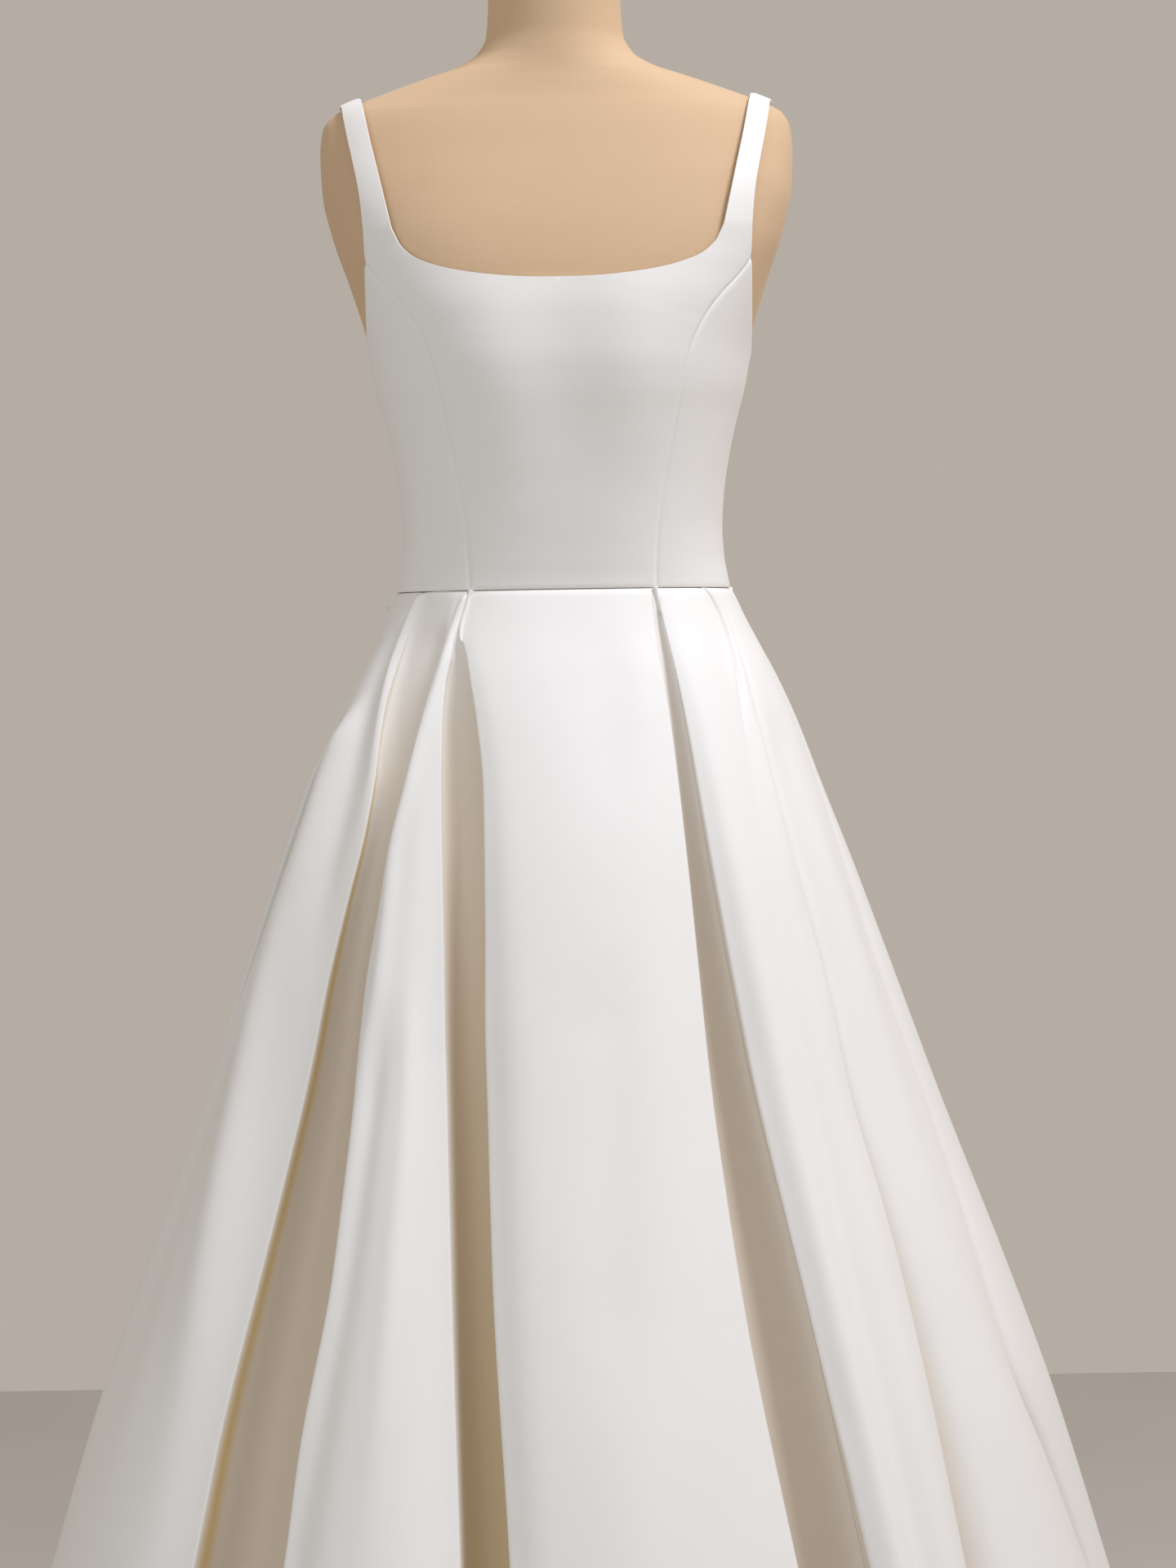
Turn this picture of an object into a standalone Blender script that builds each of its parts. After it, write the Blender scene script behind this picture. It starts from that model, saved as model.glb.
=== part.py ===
"""A wedding dress on a limbless dress form and its stand.

Square-necked bodice with princess seams and narrow straps, sewn at a straight waist seam
to a floor-length skirt of seven gores that hangs in deep, uneven, unpressed pleats.
Metres, +Z up, the front of the dress looks to -Y, the origin is on the floor under the pole.
Left and right in the names are those of someone who faces the dress: left is -X.
"""

import math
from collections import namedtuple

import bmesh
import bpy

# --- cloth and seams ------------------------------------------------------------------
CLOTH = 0.0018  # satin, its interfacing and lining, sewn as one wall
EASE = 0.0015  # between the form and the cloth on it
SEAM_GAP = 0.0004  # between two pieces at a seam
WAIST_SEAM = 1.0195  # height of the seam between bodice and skirt
HEM = 0.012  # height of the hem over the floor

# --- the dress form: horizontal sections, from the hips to the top of the neck --------
Section = namedtuple("Section", "height half_width front_depth back_depth squareness")
TORSO = [
    Section(0.800, 0.1640, 0.1120, 0.1220, 2.35),
    Section(0.860, 0.1610, 0.1110, 0.1180, 2.35),
    Section(0.920, 0.1510, 0.1050, 0.1070, 2.35),
    Section(0.970, 0.1395, 0.0985, 0.0960, 2.35),
    Section(1.000, 0.1335, 0.0958, 0.0908, 2.35),
    Section(1.0195, 0.1312, 0.0952, 0.0892, 2.35),
    Section(1.045, 0.1268, 0.0970, 0.0875, 2.35),
    Section(1.068, 0.1254, 0.0995, 0.0870, 2.35),
    Section(1.095, 0.1270, 0.1030, 0.0880, 2.35),
    Section(1.125, 0.1313, 0.1074, 0.0915, 2.35),
    Section(1.155, 0.1378, 0.1113, 0.0965, 2.35),
    Section(1.180, 0.1445, 0.1142, 0.1010, 2.38),
    Section(1.205, 0.1495, 0.1159, 0.1045, 2.42),
    Section(1.235, 0.1580, 0.1154, 0.1065, 2.55),
    Section(1.268, 0.1685, 0.1114, 0.1070, 2.75),
    Section(1.300, 0.1795, 0.1032, 0.1055, 2.90),
    Section(1.338, 0.1880, 0.0893, 0.0985, 2.90),
    Section(1.370, 0.1895, 0.0765, 0.0890, 2.70),
    Section(1.387, 0.1880, 0.0700, 0.0825, 2.50),
    Section(1.399, 0.1820, 0.0650, 0.0775, 2.35),
    Section(1.410, 0.1600, 0.0605, 0.0725, 2.20),
    Section(1.421, 0.1310, 0.0570, 0.0690, 2.10),
    Section(1.430, 0.1050, 0.0545, 0.0660, 2.05),
    Section(1.438, 0.0810, 0.0530, 0.0630, 2.00),
    Section(1.449, 0.0630, 0.0515, 0.0595, 2.00),
    Section(1.464, 0.0550, 0.0500, 0.0560, 2.00),
    Section(1.495, 0.0530, 0.0500, 0.0540, 2.00),
    Section(1.535, 0.0530, 0.0510, 0.0540, 2.00),
]
TORSO_SIDES = 44
SHOULDER_PIVOT = 1.300  # straps are laid by angles about this height
SHOULDER_SEAM_TILT = 79.0  # degrees up from the front, where the strap seam lies
SHOULDER_REACH = 0.11  # about how far the shoulder's top is from the pivot
REACH_LIMITS = (0.01, 0.20)  # within which the form's surface is looked for
REACH_HALVINGS = 30
TORSO_CREASE = 50.0  # degrees; sharper edges of the form show as edges

# --- the skirt: outer horizontal sections, through the crests of the pleats ----------
SKIRT = [
    Section(WAIST_SEAM - SEAM_GAP, 0.1345, 0.0985, 0.0925, 2.35),
    Section(0.990, 0.1500, 0.1110, 0.1090, 2.30),
    Section(0.950, 0.1720, 0.1310, 0.1340, 2.25),
    Section(0.910, 0.1905, 0.1490, 0.1560, 2.20),
    Section(0.820, 0.2260, 0.1850, 0.2010, 2.12),
    Section(0.720, 0.2610, 0.2200, 0.2440, 2.05),
    Section(0.610, 0.2990, 0.2570, 0.2880, 2.00),
    Section(0.470, 0.3500, 0.3040, 0.3430, 2.00),
    Section(0.370, 0.3840, 0.3360, 0.3800, 2.00),
    Section(0.230, 0.4240, 0.3780, 0.4240, 2.00),
    Section(HEM, 0.4840, 0.4380, 0.4880, 2.00),
]
SKIRT_HEIGHTS = [
    WAIST_SEAM - SEAM_GAP, 1.004, 0.984, 0.955, 0.912, 0.852, 0.777, 0.690,
    0.594, 0.490, 0.375, 0.250, 0.125, HEM,
]  # fmt: skip

# Each pleat is a valley between two panels. A row of it says how far down the skirt it is,
# from 0 at the waist to 1 at the hem, where its two edges are, as lengths round the skirt
# from the centre front, to +X, and how deep it is.
Mouth = namedtuple("Mouth", "down left right depth")
# A side of a valley: how far the bottom lies under its edge, in widths of the mouth; how
# flat the bottom stays towards it; 1 for a crisp edge or 2 for a soft one, at the waist and
# at the hem; how far the panel sinks towards the edge, and from how far away.
Side = namedtuple("Side", "under flat ease_waist ease_hem drop reach")
CRISP = Side(0.60, 2.0, 1.0, 1.0, 0.005, 0.014)
SOFT = Side(-0.60, 2.0, 2.0, 2.0, 0.002, 0.014)
# A pleat's seam is the step across it, from -1 to 1, at which two gores meet.
Pleat = namedtuple("Pleat", "name rows left right seam turn", defaults=(0.0, 0))
WAIST_MOUTH = 0.004  # width of a pleat's mouth at the waist seam
DEPTH_POWER = 0.65  # a plain pleat's depth grows with this power of the way down
SEWN_DOWN = 0.04  # share of the way down over which the seam still holds a plain pleat shut
PLAIN_DOWNS = (0.0, 0.02, SEWN_DOWN, 0.12, 0.30, 0.60, 1.0)


def plain_rows(waist, hem_left, hem_right, depth, opening):
    """Rows of a pleat that runs straight from its place at the waist to the hem."""
    rows = []
    for way in PLAIN_DOWNS:
        centre = waist + ((hem_left + hem_right) / 2.0 - waist) * way
        half = (WAIST_MOUTH + (hem_right - hem_left - WAIST_MOUTH) * way**opening) / 2.0
        deep = depth * way**DEPTH_POWER * min(1.0, way / SEWN_DOWN) ** 2
        rows.append(Mouth(way, centre - half, centre + half, deep))
    return rows


PLEATS = [
    Pleat("back_left_inner", plain_rows(-0.352, -1.345, -1.265, 0.062, 0.8), SOFT, CRISP),
    Pleat("back_left_outer", plain_rows(-0.292, -1.125, -1.040, 0.070, 1.0), CRISP, SOFT),
    Pleat("side_left", plain_rows(-0.216, -0.880, -0.800, 0.060, 0.9), CRISP, SOFT),
    Pleat("front_left_outer", [
        Mouth(0.000, -0.1215, -0.0800, 0.000), Mouth(0.020, -0.1310, -0.0865, 0.004),
        Mouth(0.042, -0.1395, -0.0935, 0.008), Mouth(0.093, -0.1535, -0.1080, 0.014),
        Mouth(0.146, -0.1600, -0.1260, 0.019), Mouth(0.190, -0.1700, -0.1395, 0.025),
        Mouth(0.235, -0.1848, -0.1500, 0.031), Mouth(0.300, -0.2050, -0.1650, 0.040),
        Mouth(0.356, -0.2183, -0.1710, 0.047), Mouth(0.435, -0.2400, -0.1810, 0.056),
        Mouth(0.514, -0.2630, -0.1921, 0.064), Mouth(0.630, -0.2975, -0.2185, 0.074),
        Mouth(0.710, -0.3165, -0.2315, 0.081), Mouth(1.000, -0.3900, -0.2906, 0.096),
    ], Side(0.80, 2.0, 1.0, 1.0, 0.022, 0.034),
       Side(0.20, 3.0, 1.7, 1.0, 0.000, 0.014)),
    Pleat("front_left_inner", [
        Mouth(0.000, -0.0710, -0.0668, 0.000), Mouth(0.016, -0.0760, -0.0715, 0.000),
        Mouth(0.028, -0.0800, -0.0755, 0.0002), Mouth(0.036, -0.0815, -0.0765, 0.0015),
        Mouth(0.050, -0.0832, -0.0727, 0.007), Mouth(0.068, -0.0880, -0.0696, 0.012),
        Mouth(0.099, -0.0920, -0.0648, 0.018), Mouth(0.150, -0.0935, -0.0608, 0.024),
        Mouth(0.250, -0.0938, -0.0626, 0.031), Mouth(0.350, -0.0950, -0.0655, 0.038),
        Mouth(0.500, -0.0920, -0.0630, 0.046), Mouth(0.700, -0.0860, -0.0525, 0.056),
        Mouth(1.000, -0.0785, -0.0410, 0.068),
    ], Side(0.50, 4.0, 1.0, 1.0, 0.014, 0.024),
       Side(0.90, 2.5, 1.0, 1.0, 0.010, 0.012), 0.58),
    Pleat("front_right_inner", [
        Mouth(0.000, 0.0635, 0.0675, 0.000), Mouth(0.015, 0.0650, 0.0702, 0.004),
        Mouth(0.045, 0.0682, 0.0770, 0.009),
        Mouth(0.100, 0.0775, 0.0890, 0.016), Mouth(0.215, 0.0915, 0.1100, 0.028),
        Mouth(0.356, 0.1070, 0.1385, 0.040), Mouth(0.530, 0.1300, 0.1790, 0.052),
        Mouth(0.700, 0.1635, 0.2190, 0.062), Mouth(1.000, 0.2320, 0.2900, 0.075),
    ], Side(0.20, 6.0, 1.0, 1.0, 0.004, 0.020),
       Side(1.10, 3.0, 1.0, 1.0, 0.013, 0.013), 0.58),
    Pleat("front_right_outer", [
        Mouth(0.000, 0.1380, 0.1420, 0.000), Mouth(0.021, 0.1560, 0.1600, 0.002),
        Mouth(0.052, 0.1640, 0.1680, 0.0030), Mouth(0.116, 0.1755, 0.1800, 0.0040),
        Mouth(0.241, 0.2060, 0.2120, 0.0045), Mouth(0.300, 0.2235, 0.2300, 0.0050),
        Mouth(0.390, 0.2436, 0.2530, 0.007), Mouth(0.480, 0.2724, 0.2900, 0.011),
        Mouth(0.580, 0.2958, 0.3290, 0.018), Mouth(0.730, 0.3240, 0.3750, 0.030),
        Mouth(1.000, 0.3750, 0.4430, 0.047),
    ], Side(0.60, 2.0, 1.0, 1.0, 0.006, 0.016), Side(-0.60, 1.8, 2.0, 2.0, 0.0, 0.014)),
    Pleat("side_right", [
        Mouth(0.000, 0.2230, 0.2270, 0.000), Mouth(0.030, 0.2330, 0.2390, 0.003),
        Mouth(0.120, 0.2700, 0.2780, 0.004),
        Mouth(0.300, 0.3300, 0.3450, 0.008), Mouth(0.466, 0.3970, 0.4150, 0.013),
        Mouth(0.605, 0.4340, 0.4560, 0.018), Mouth(0.690, 0.4900, 0.5150, 0.022),
        Mouth(0.783, 0.5510, 0.5800, 0.026), Mouth(1.000, 0.6600, 0.7050, 0.040),
    ], CRISP, SOFT, -0.58),
    Pleat("back_right_outer", plain_rows(0.300, 0.955, 1.045, 0.072, 0.9), SOFT, CRISP),
    Pleat("back_right_inner", plain_rows(0.354, 1.225, 1.305, 0.065, 1.0), CRISP, SOFT),
]
CENTRE_BACK = Pleat("centre_back", plain_rows(0.4225, 1.480, 1.560, 0.070, 0.8), SOFT, CRISP)

CROWN = 0.014  # how far a panel rounds out between two pleats, at the hem
LEAN_LIMIT = 2.2  # times its depth, the widest mouth by which a valley leans
FREE_DOWN = 0.60  # below this share of the way down a valley has the sides of its hem
SUNK_DOWN = 0.35  # below this share of the way down an edge has sunk in full
WAIST_REACH = 0.35  # how much closer to its edge a panel begins to sink at the waist
RIGHT_SLIM = 0.0045  # how much the right side hangs closer in than the left
SLIM_DOWN = 0.15
SLIM_POWER = 4
VALLEY_STEPS = (-1.0, -0.84, -0.58, -0.28, 0.0, 0.28, 0.58, 0.84, 1.0)
PANEL_STEPS = 5
ANGLE_STEP = 0.001  # for the direction along a section

# The gores of the skirt, each from the seam in one pleat to the seam in another.
Gore = namedtuple("Gore", "name first last")
GORES = [
    Gore("skirt_centre_front", "front_left_inner", "front_right_inner"),
    Gore("skirt_side_front_right", "front_right_inner", "side_right"),
    Gore("skirt_side_back_right", "side_right", "back_right_inner"),
    Gore("skirt_back_right", "back_right_inner", "centre_back"),
    Gore("skirt_back_left", "centre_back", "back_left_inner"),
    Gore("skirt_side_back_left", "back_left_inner", "side_left"),
    Gore("skirt_side_front_left", "side_left", "front_left_inner"),
]

# --- the bodice -----------------------------------------------------------------------
# Rows of half a centre panel, from the waist up: its inner end, on the centre line and
# then along the neckline, and its outer end, on the princess seam and then the armhole.
Row = namedtuple("Row", "inner_x inner_z outer_x outer_z")
PANEL_ROWS = [
    Row(0.0, WAIST_SEAM, 0.0725, WAIST_SEAM),
    Row(0.0, 1.0480, 0.0730, 1.0450),
    Row(0.0, 1.0780, 0.0750, 1.0710),
    Row(0.0, 1.1090, 0.0790, 1.0985),
    Row(0.0, 1.1400, 0.0840, 1.1270),
    Row(0.0, 1.1700, 0.0885, 1.1530),
    Row(0.0, 1.2000, 0.0930, 1.1780),
    Row(0.0, 1.2300, 0.0985, 1.2010),
    Row(0.0, 1.2600, 0.1055, 1.2190),
    Row(0.0420, 1.2610, 0.1140, 1.2335),
    Row(0.0780, 1.2665, 0.1250, 1.2475),
    Row(0.1010, 1.2735, 0.1380, 1.2610),
    Row(0.1165, 1.2815, 0.1505, 1.2760),
    Row(0.1250, 1.2915, 0.1508, 1.2880),
]
SEAM_ROWS = 13  # the rows whose outer end is on the princess seam
# Rows of a strap: angle up from the horizontal about the pivot, and its two edges.
Strap = namedtuple("Strap", "tilt inner_x outer_x lift")
STRAP_ROWS = [
    Strap(0.0, 0.1290, 0.1512, 0.0048),
    Strap(20.0, 0.1360, 0.1540, 0.0060),
    Strap(39.0, 0.1425, 0.1588, 0.0060),
    Strap(57.0, 0.1490, 0.1645, 0.0054),
    Strap(69.0, 0.1530, 0.1682, 0.0042),
    Strap(SHOULDER_SEAM_TILT, 0.1562, 0.1708, 0.0034),
    Strap(90.0, 0.1590, 0.1735, 0.0030),
]
PANEL_COLUMNS = 6
UNDERARM = 1.205  # height of the armhole's lowest point
ARMHOLE_POWER = 1.8  # how steeply the armhole falls from the princess seam
SIDE_COLUMNS = 6

# --- the stand ------------------------------------------------------------------------
POLE_RADIUS = 0.0160
BASE_RADIUS = 0.1800
BASE_THICKNESS = 0.0080
BASE_EDGE = 0.0025  # bevel round the base plate
HUB_RADIUS = 0.0300
HUB_HEIGHT = 0.0400  # over the plate
HUB_EDGE = 0.0040
TOUCH_GAP = 0.0003  # between two pieces that bear on each other

BASE_SIDES = 40
POLE_SIDES = 24
MERGE_NEAR = 0.00001  # points of a mirrored or turned piece closer than this are one

# Name, colour, roughness, metallic.
SATIN = ("ivory_satin", (0.86, 0.84, 0.79), 0.42, 0.0)
LINEN = ("tan_linen", (0.66, 0.47, 0.31), 0.85, 0.0)
STEEL = ("brushed_steel", (0.55, 0.55, 0.56), 0.35, 1.0)
ENAMEL = ("white_enamel", (0.78, 0.77, 0.75), 0.40, 0.0)


def clear_scene():
    for obj in list(bpy.data.objects):
        bpy.data.objects.remove(obj)


def parts_collection():
    collection = bpy.data.collections.new("wedding_dress")
    bpy.context.scene.collection.children.link(collection)
    return collection


def material(look):
    name, colour, roughness, metallic = look
    found = bpy.data.materials.get(name) or bpy.data.materials.new(name)
    found.use_nodes = True
    shader = found.node_tree.nodes["Principled BSDF"]
    shader.inputs["Base Color"].default_value = (*colour, 1.0)
    shader.inputs["Roughness"].default_value = roughness
    shader.inputs["Metallic"].default_value = metallic
    return found


def smooth(places, values, place):
    """A monotone cubic through the points; places rise. Level past both ends."""
    if place <= places[0]:
        return values[0]
    if place >= places[-1]:
        return values[-1]
    k = max(i for i in range(len(places) - 1) if places[i] <= place)

    def slope_of(i):
        return (values[i + 1] - values[i]) / (places[i + 1] - places[i])

    def tangent(i):
        if i == 0 or i == len(places) - 1:
            return slope_of(min(i, len(places) - 2))
        before, after = slope_of(i - 1), slope_of(i)
        if before * after <= 0.0:
            return 0.0
        return 2.0 * before * after / (before + after)

    step = places[k + 1] - places[k]
    t = (place - places[k]) / step
    start = (1 + 2 * t) * (1 - t) ** 2 * values[k] + t * (1 - t) ** 2 * step * tangent(k)
    end = t * t * (3 - 2 * t) * values[k + 1] + t * t * (t - 1) * step * tangent(k + 1)
    return start + end


def section_at(sections, height):
    """The section of a table at any height."""
    ordered = sorted(sections)
    heights = [section.height for section in ordered]
    columns = list(zip(*ordered))[1:]
    return Section(height, *(smooth(heights, column, height) for column in columns))


def signed_power(value, power):
    return math.copysign(abs(value) ** power, value)


def ring_point(section, angle, lift=0.0):
    """The point of a section at an angle from the front, positive to +X."""
    power = 2.0 / section.squareness
    depth = section.front_depth if math.cos(angle) >= 0.0 else section.back_depth
    x = (section.half_width + lift) * signed_power(math.sin(angle), power)
    y = -(depth + lift) * signed_power(math.cos(angle), power)
    return x, y, section.height


def angle_of(section, x, lift):
    """The angle at which the front half of a section reaches x."""
    share = min(1.0, x / (section.half_width + lift))
    return math.asin(share ** (section.squareness / 2.0))


def link(name, mesh, look, collection):
    obj = bpy.data.objects.new(name, mesh)
    mesh.materials.append(material(look))
    collection.objects.link(obj)
    mesh.shade_smooth()
    return obj


def sheet(name, rows, look, collection, outward, thickness_side):
    """A cloth wall: a grid primitive laid on the rows of points, then thickened."""
    columns = len(rows[0])
    grid = bmesh.new()
    bmesh.ops.create_grid(
        grid, x_segments=columns - 1, y_segments=len(rows) - 1, size=1.0
    )
    for vertex in grid.verts:
        column = round((vertex.co.x + 1.0) / 2.0 * (columns - 1))
        row = round((vertex.co.y + 1.0) / 2.0 * (len(rows) - 1))
        vertex.co = rows[row][column]
    grid.normal_update()
    face = grid.faces[:][len(grid.faces) // 2]
    if face.normal.dot(outward(face.calc_center_median())) < 0.0:
        bmesh.ops.reverse_faces(grid, faces=grid.faces[:])
    mesh = bpy.data.meshes.new(name)
    grid.to_mesh(mesh)
    grid.free()
    obj = link(name, mesh, look, collection)
    wall = obj.modifiers.new("cloth thickness", "SOLIDIFY")
    wall.thickness = CLOTH
    wall.offset = thickness_side
    return obj


def from_axis(point):
    """The way out from the upright axis of the dress."""
    way = point.copy()
    way.z = 0.0
    return way


def mixed(start, end, share):
    return start + (end - start) * share


# --- dress form and stand -------------------------------------------------------------
def torso(collection):
    """Closed loft through the sections of the form."""
    body = bmesh.new()
    rings = []
    for section in TORSO:
        turns = [math.tau * k / TORSO_SIDES for k in range(TORSO_SIDES)]
        rings.append([body.verts.new(ring_point(section, turn)) for turn in turns])
    for lower, upper in zip(rings, rings[1:]):
        for k in range(TORSO_SIDES):
            after = (k + 1) % TORSO_SIDES
            body.faces.new((lower[k], lower[after], upper[after], upper[k]))
    body.faces.new(reversed(rings[0]))
    body.faces.new(rings[-1])
    mesh = bpy.data.meshes.new("form_torso")
    body.to_mesh(mesh)
    body.free()
    obj = link("form_torso", mesh, LINEN, collection)
    mesh.set_sharp_from_angle(angle=math.radians(TORSO_CREASE))
    return obj


def turned(name, profile, look, collection, sides):
    """A closed turned solid; the profile runs down its outer side, axis to axis."""
    mesh = bpy.data.meshes.new(name)
    edges = [(k, k + 1) for k in range(len(profile) - 1)]
    mesh.from_pydata([(radius, 0.0, height) for radius, height in profile], edges, [])
    obj = link(name, mesh, look, collection)
    screw = obj.modifiers.new("turned", "SCREW")
    screw.steps = sides
    screw.render_steps = sides
    screw.use_merge_vertices = True
    screw.merge_threshold = MERGE_NEAR
    return obj


def stand(collection):
    hub = BASE_THICKNESS + HUB_HEIGHT
    base_profile = [
        (0.0, hub),
        (HUB_RADIUS - HUB_EDGE, hub),
        (HUB_RADIUS, hub - HUB_EDGE),
        (HUB_RADIUS, BASE_THICKNESS + HUB_EDGE),
        (HUB_RADIUS + HUB_EDGE, BASE_THICKNESS),
        (BASE_RADIUS - BASE_EDGE, BASE_THICKNESS),
        (BASE_RADIUS, BASE_THICKNESS - BASE_EDGE),
        (BASE_RADIUS, BASE_EDGE),
        (BASE_RADIUS - BASE_EDGE, 0.0),
        (0.0, 0.0),
    ]
    turned("stand_base", base_profile, ENAMEL, collection, BASE_SIDES)
    top = TORSO[0].height - TOUCH_GAP
    foot = hub + TOUCH_GAP
    pole_profile = [(0.0, top), (POLE_RADIUS, top), (POLE_RADIUS, foot), (0.0, foot)]
    turned("stand_pole", pole_profile, STEEL, collection, POLE_SIDES)


# --- bodice ---------------------------------------------------------------------------
def on_torso(x, z, facing):
    """A point of the cloth's inner face over the form; facing is +1 front, -1 back."""
    section = section_at(TORSO, z)
    angle = angle_of(section, abs(x), EASE)
    side, y, _ = ring_point(section, angle if facing > 0 else math.pi - angle, EASE)
    return math.copysign(side, x), y, z


def inside_torso(x, y, z):
    section = section_at(TORSO, z)
    depth = section.front_depth if y < 0.0 else section.back_depth
    power = section.squareness
    return abs(x / section.half_width) ** power + abs(y / depth) ** power < 1.0


def over_shoulder(x, tilt, lift, facing):
    """A point at a tilt up from the horizontal about the pivot, lifted off the form."""
    out, up = math.cos(math.radians(tilt)) * -facing, math.sin(math.radians(tilt))
    near, far = REACH_LIMITS
    for _ in range(REACH_HALVINGS):
        middle = (near + far) / 2.0
        if inside_torso(x, out * middle, SHOULDER_PIVOT + up * middle):
            near = middle
        else:
            far = middle
    reach = far + lift
    return x, out * reach, SHOULDER_PIVOT + up * reach


def strap_ends(facing):
    """Rows of a strap up to the shoulder seam; the back strap crosses the top."""
    if facing > 0:
        return [strap for strap in STRAP_ROWS if strap.tilt <= SHOULDER_SEAM_TILT]
    beyond = STRAP_ROWS[-2]
    past_top = 180.0 - SHOULDER_SEAM_TILT - math.degrees(SEAM_GAP / SHOULDER_REACH)
    return STRAP_ROWS + [Strap(past_top, beyond.inner_x, beyond.outer_x, beyond.lift)]


def half_panel(facing, centre_gap):
    """Rows of points of half a centre panel and its strap, on the +X side."""
    shares = [k / (PANEL_COLUMNS - 1) for k in range(PANEL_COLUMNS)]
    rows = []
    for row in PANEL_ROWS:
        inner_x = max(row.inner_x, centre_gap)
        points = []
        for share in shares:
            x = mixed(inner_x, row.outer_x, share)
            z = mixed(row.inner_z, row.outer_z, share)
            points.append(on_torso(x, z, facing))
        rows.append(points)
    for strap in strap_ends(facing):
        xs = [mixed(strap.inner_x, strap.outer_x, share) for share in shares]
        rows.append([over_shoulder(x, strap.tilt, strap.lift, facing) for x in xs])
    return rows


def side_panel(facing):
    """Rows of points from the princess seam round to the side seam, on the +X side."""
    rows = []
    for index, row in enumerate(PANEL_ROWS[:SEAM_ROWS]):
        way = index / (SEAM_ROWS - 1)
        low = mixed(WAIST_SEAM, UNDERARM, way)
        x = row.outer_x + SEAM_GAP
        section = section_at(TORSO, row.outer_z)
        first = angle_of(section, x, EASE)
        last = math.pi / 2.0 - SEAM_GAP / 2.0 / section.half_width
        points = []
        for column in range(SIDE_COLUMNS):
            share = column / (SIDE_COLUMNS - 1)
            angle = mixed(first, last, share)
            z = low + (row.outer_z - low) * (1.0 - share) ** ARMHOLE_POWER
            turn = angle if facing > 0 else math.pi - angle
            points.append(ring_point(section_at(TORSO, z), turn, EASE))
        rows.append(points)
    return rows


def mirrored(rows):
    return [[(-x, y, z) for x, y, z in row] for row in rows]


def bodice(collection):
    front = sheet(
        "front_panel", half_panel(1, 0.0), SATIN, collection, from_axis, 1.0
    )
    mirror = front.modifiers.new("other half", "MIRROR")
    mirror.merge_threshold = MERGE_NEAR
    front.modifiers.move(1, 0)
    for facing, place in ((1, "front"), (-1, "back")):
        rows = side_panel(facing)
        sheet(f"side_{place}_right", rows, SATIN, collection, from_axis, 1.0)
        sheet(f"side_{place}_left", mirrored(rows), SATIN, collection, from_axis, 1.0)
    rows = half_panel(-1, SEAM_GAP / 2.0)
    sheet("back_panel_right", rows, SATIN, collection, from_axis, 1.0)
    sheet("back_panel_left", mirrored(rows), SATIN, collection, from_axis, 1.0)


# --- skirt ----------------------------------------------------------------------------
def all_pleats():
    """The pleats in order, with the one at the centre back at both ends."""
    return [CENTRE_BACK._replace(turn=-1)] + PLEATS + [CENTRE_BACK]


def way_down(height):
    return (SKIRT[0].height - height) / (SKIRT[0].height - HEM)


def mouth(section, pleat, down):
    """Centre and half width of a pleat's mouth, as angles, and its depth."""
    downs, *columns = zip(*pleat.rows)
    left, right, depth = (smooth(downs, column, down) for column in columns)
    centre = (left + right) / 2.0 / section.half_width + math.tau * pleat.turn
    return centre, (right - left) / 2.0 / section.half_width, depth


def skirt_point(section, angle, down, depth, sideways, sink):
    """The point at an angle round the skirt, moved in, along the skirt and straight back."""
    ahead = ring_point(section, angle + ANGLE_STEP)
    behind = ring_point(section, angle - ANGLE_STEP)
    along = (ahead[0] - behind[0], ahead[1] - behind[1])
    length = math.hypot(*along)
    along = (along[0] / length, along[1] / length)
    inward = (-along[1], along[0])
    x, y, z = ring_point(section, angle)
    x += inward[0] * depth + along[0] * sideways
    y += inward[1] * depth + along[1] * sideways + sink * math.cos(angle)
    to_side = min(1.0, max(0.0, x / section.half_width))
    x -= RIGHT_SLIM * min(1.0, down / SLIM_DOWN) * to_side**SLIM_POWER
    return x, y, z


def valley_point(section, pleat, step, down):
    centre, half, depth = mouth(section, pleat, down)
    side = pleat.right if step > 0.0 else pleat.left
    to_right = (1.0 + step) / 2.0
    ease = mixed(side.ease_waist, side.ease_hem, min(1.0, down / FREE_DOWN))
    shape = (1.0 - abs(step) ** side.flat) ** ease
    width = min(2.0 * half * section.half_width, LEAN_LIMIT * depth)
    lean = width * shape * mixed(-pleat.left.under, pleat.right.under, to_right)
    sink = mixed(pleat.left.drop, pleat.right.drop, to_right) * min(1.0, down / SUNK_DOWN)
    return skirt_point(section, centre + half * step, down, depth * shape, lean, sink)


def panel_point(section, before, after, share, down):
    """A point of the panel between two pleats, which rounds out by its crown."""
    centre, half, _ = mouth(section, before, down)
    next_centre, next_half, _ = mouth(section, after, down)
    start, end = centre + half, next_centre - next_half
    width = (end - start) * section.half_width
    grown = min(1.0, down / SUNK_DOWN)
    sink = 0.0
    for side, apart in ((before.right, width * share), (after.left, width * (1.0 - share))):
        reach = side.reach * mixed(WAIST_REACH, 1.0, grown)
        sink += side.drop * grown * math.exp(-0.5 * (apart / reach) ** 2)
    bulge = CROWN * down * math.sin(math.pi * share)
    return skirt_point(section, mixed(start, end, share), down, -bulge, 0.0, sink)


def moved_towards(point, other, length):
    share = length / math.dist(point, other)
    return tuple(mixed(here, there, share) for here, there in zip(point, other))


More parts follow.
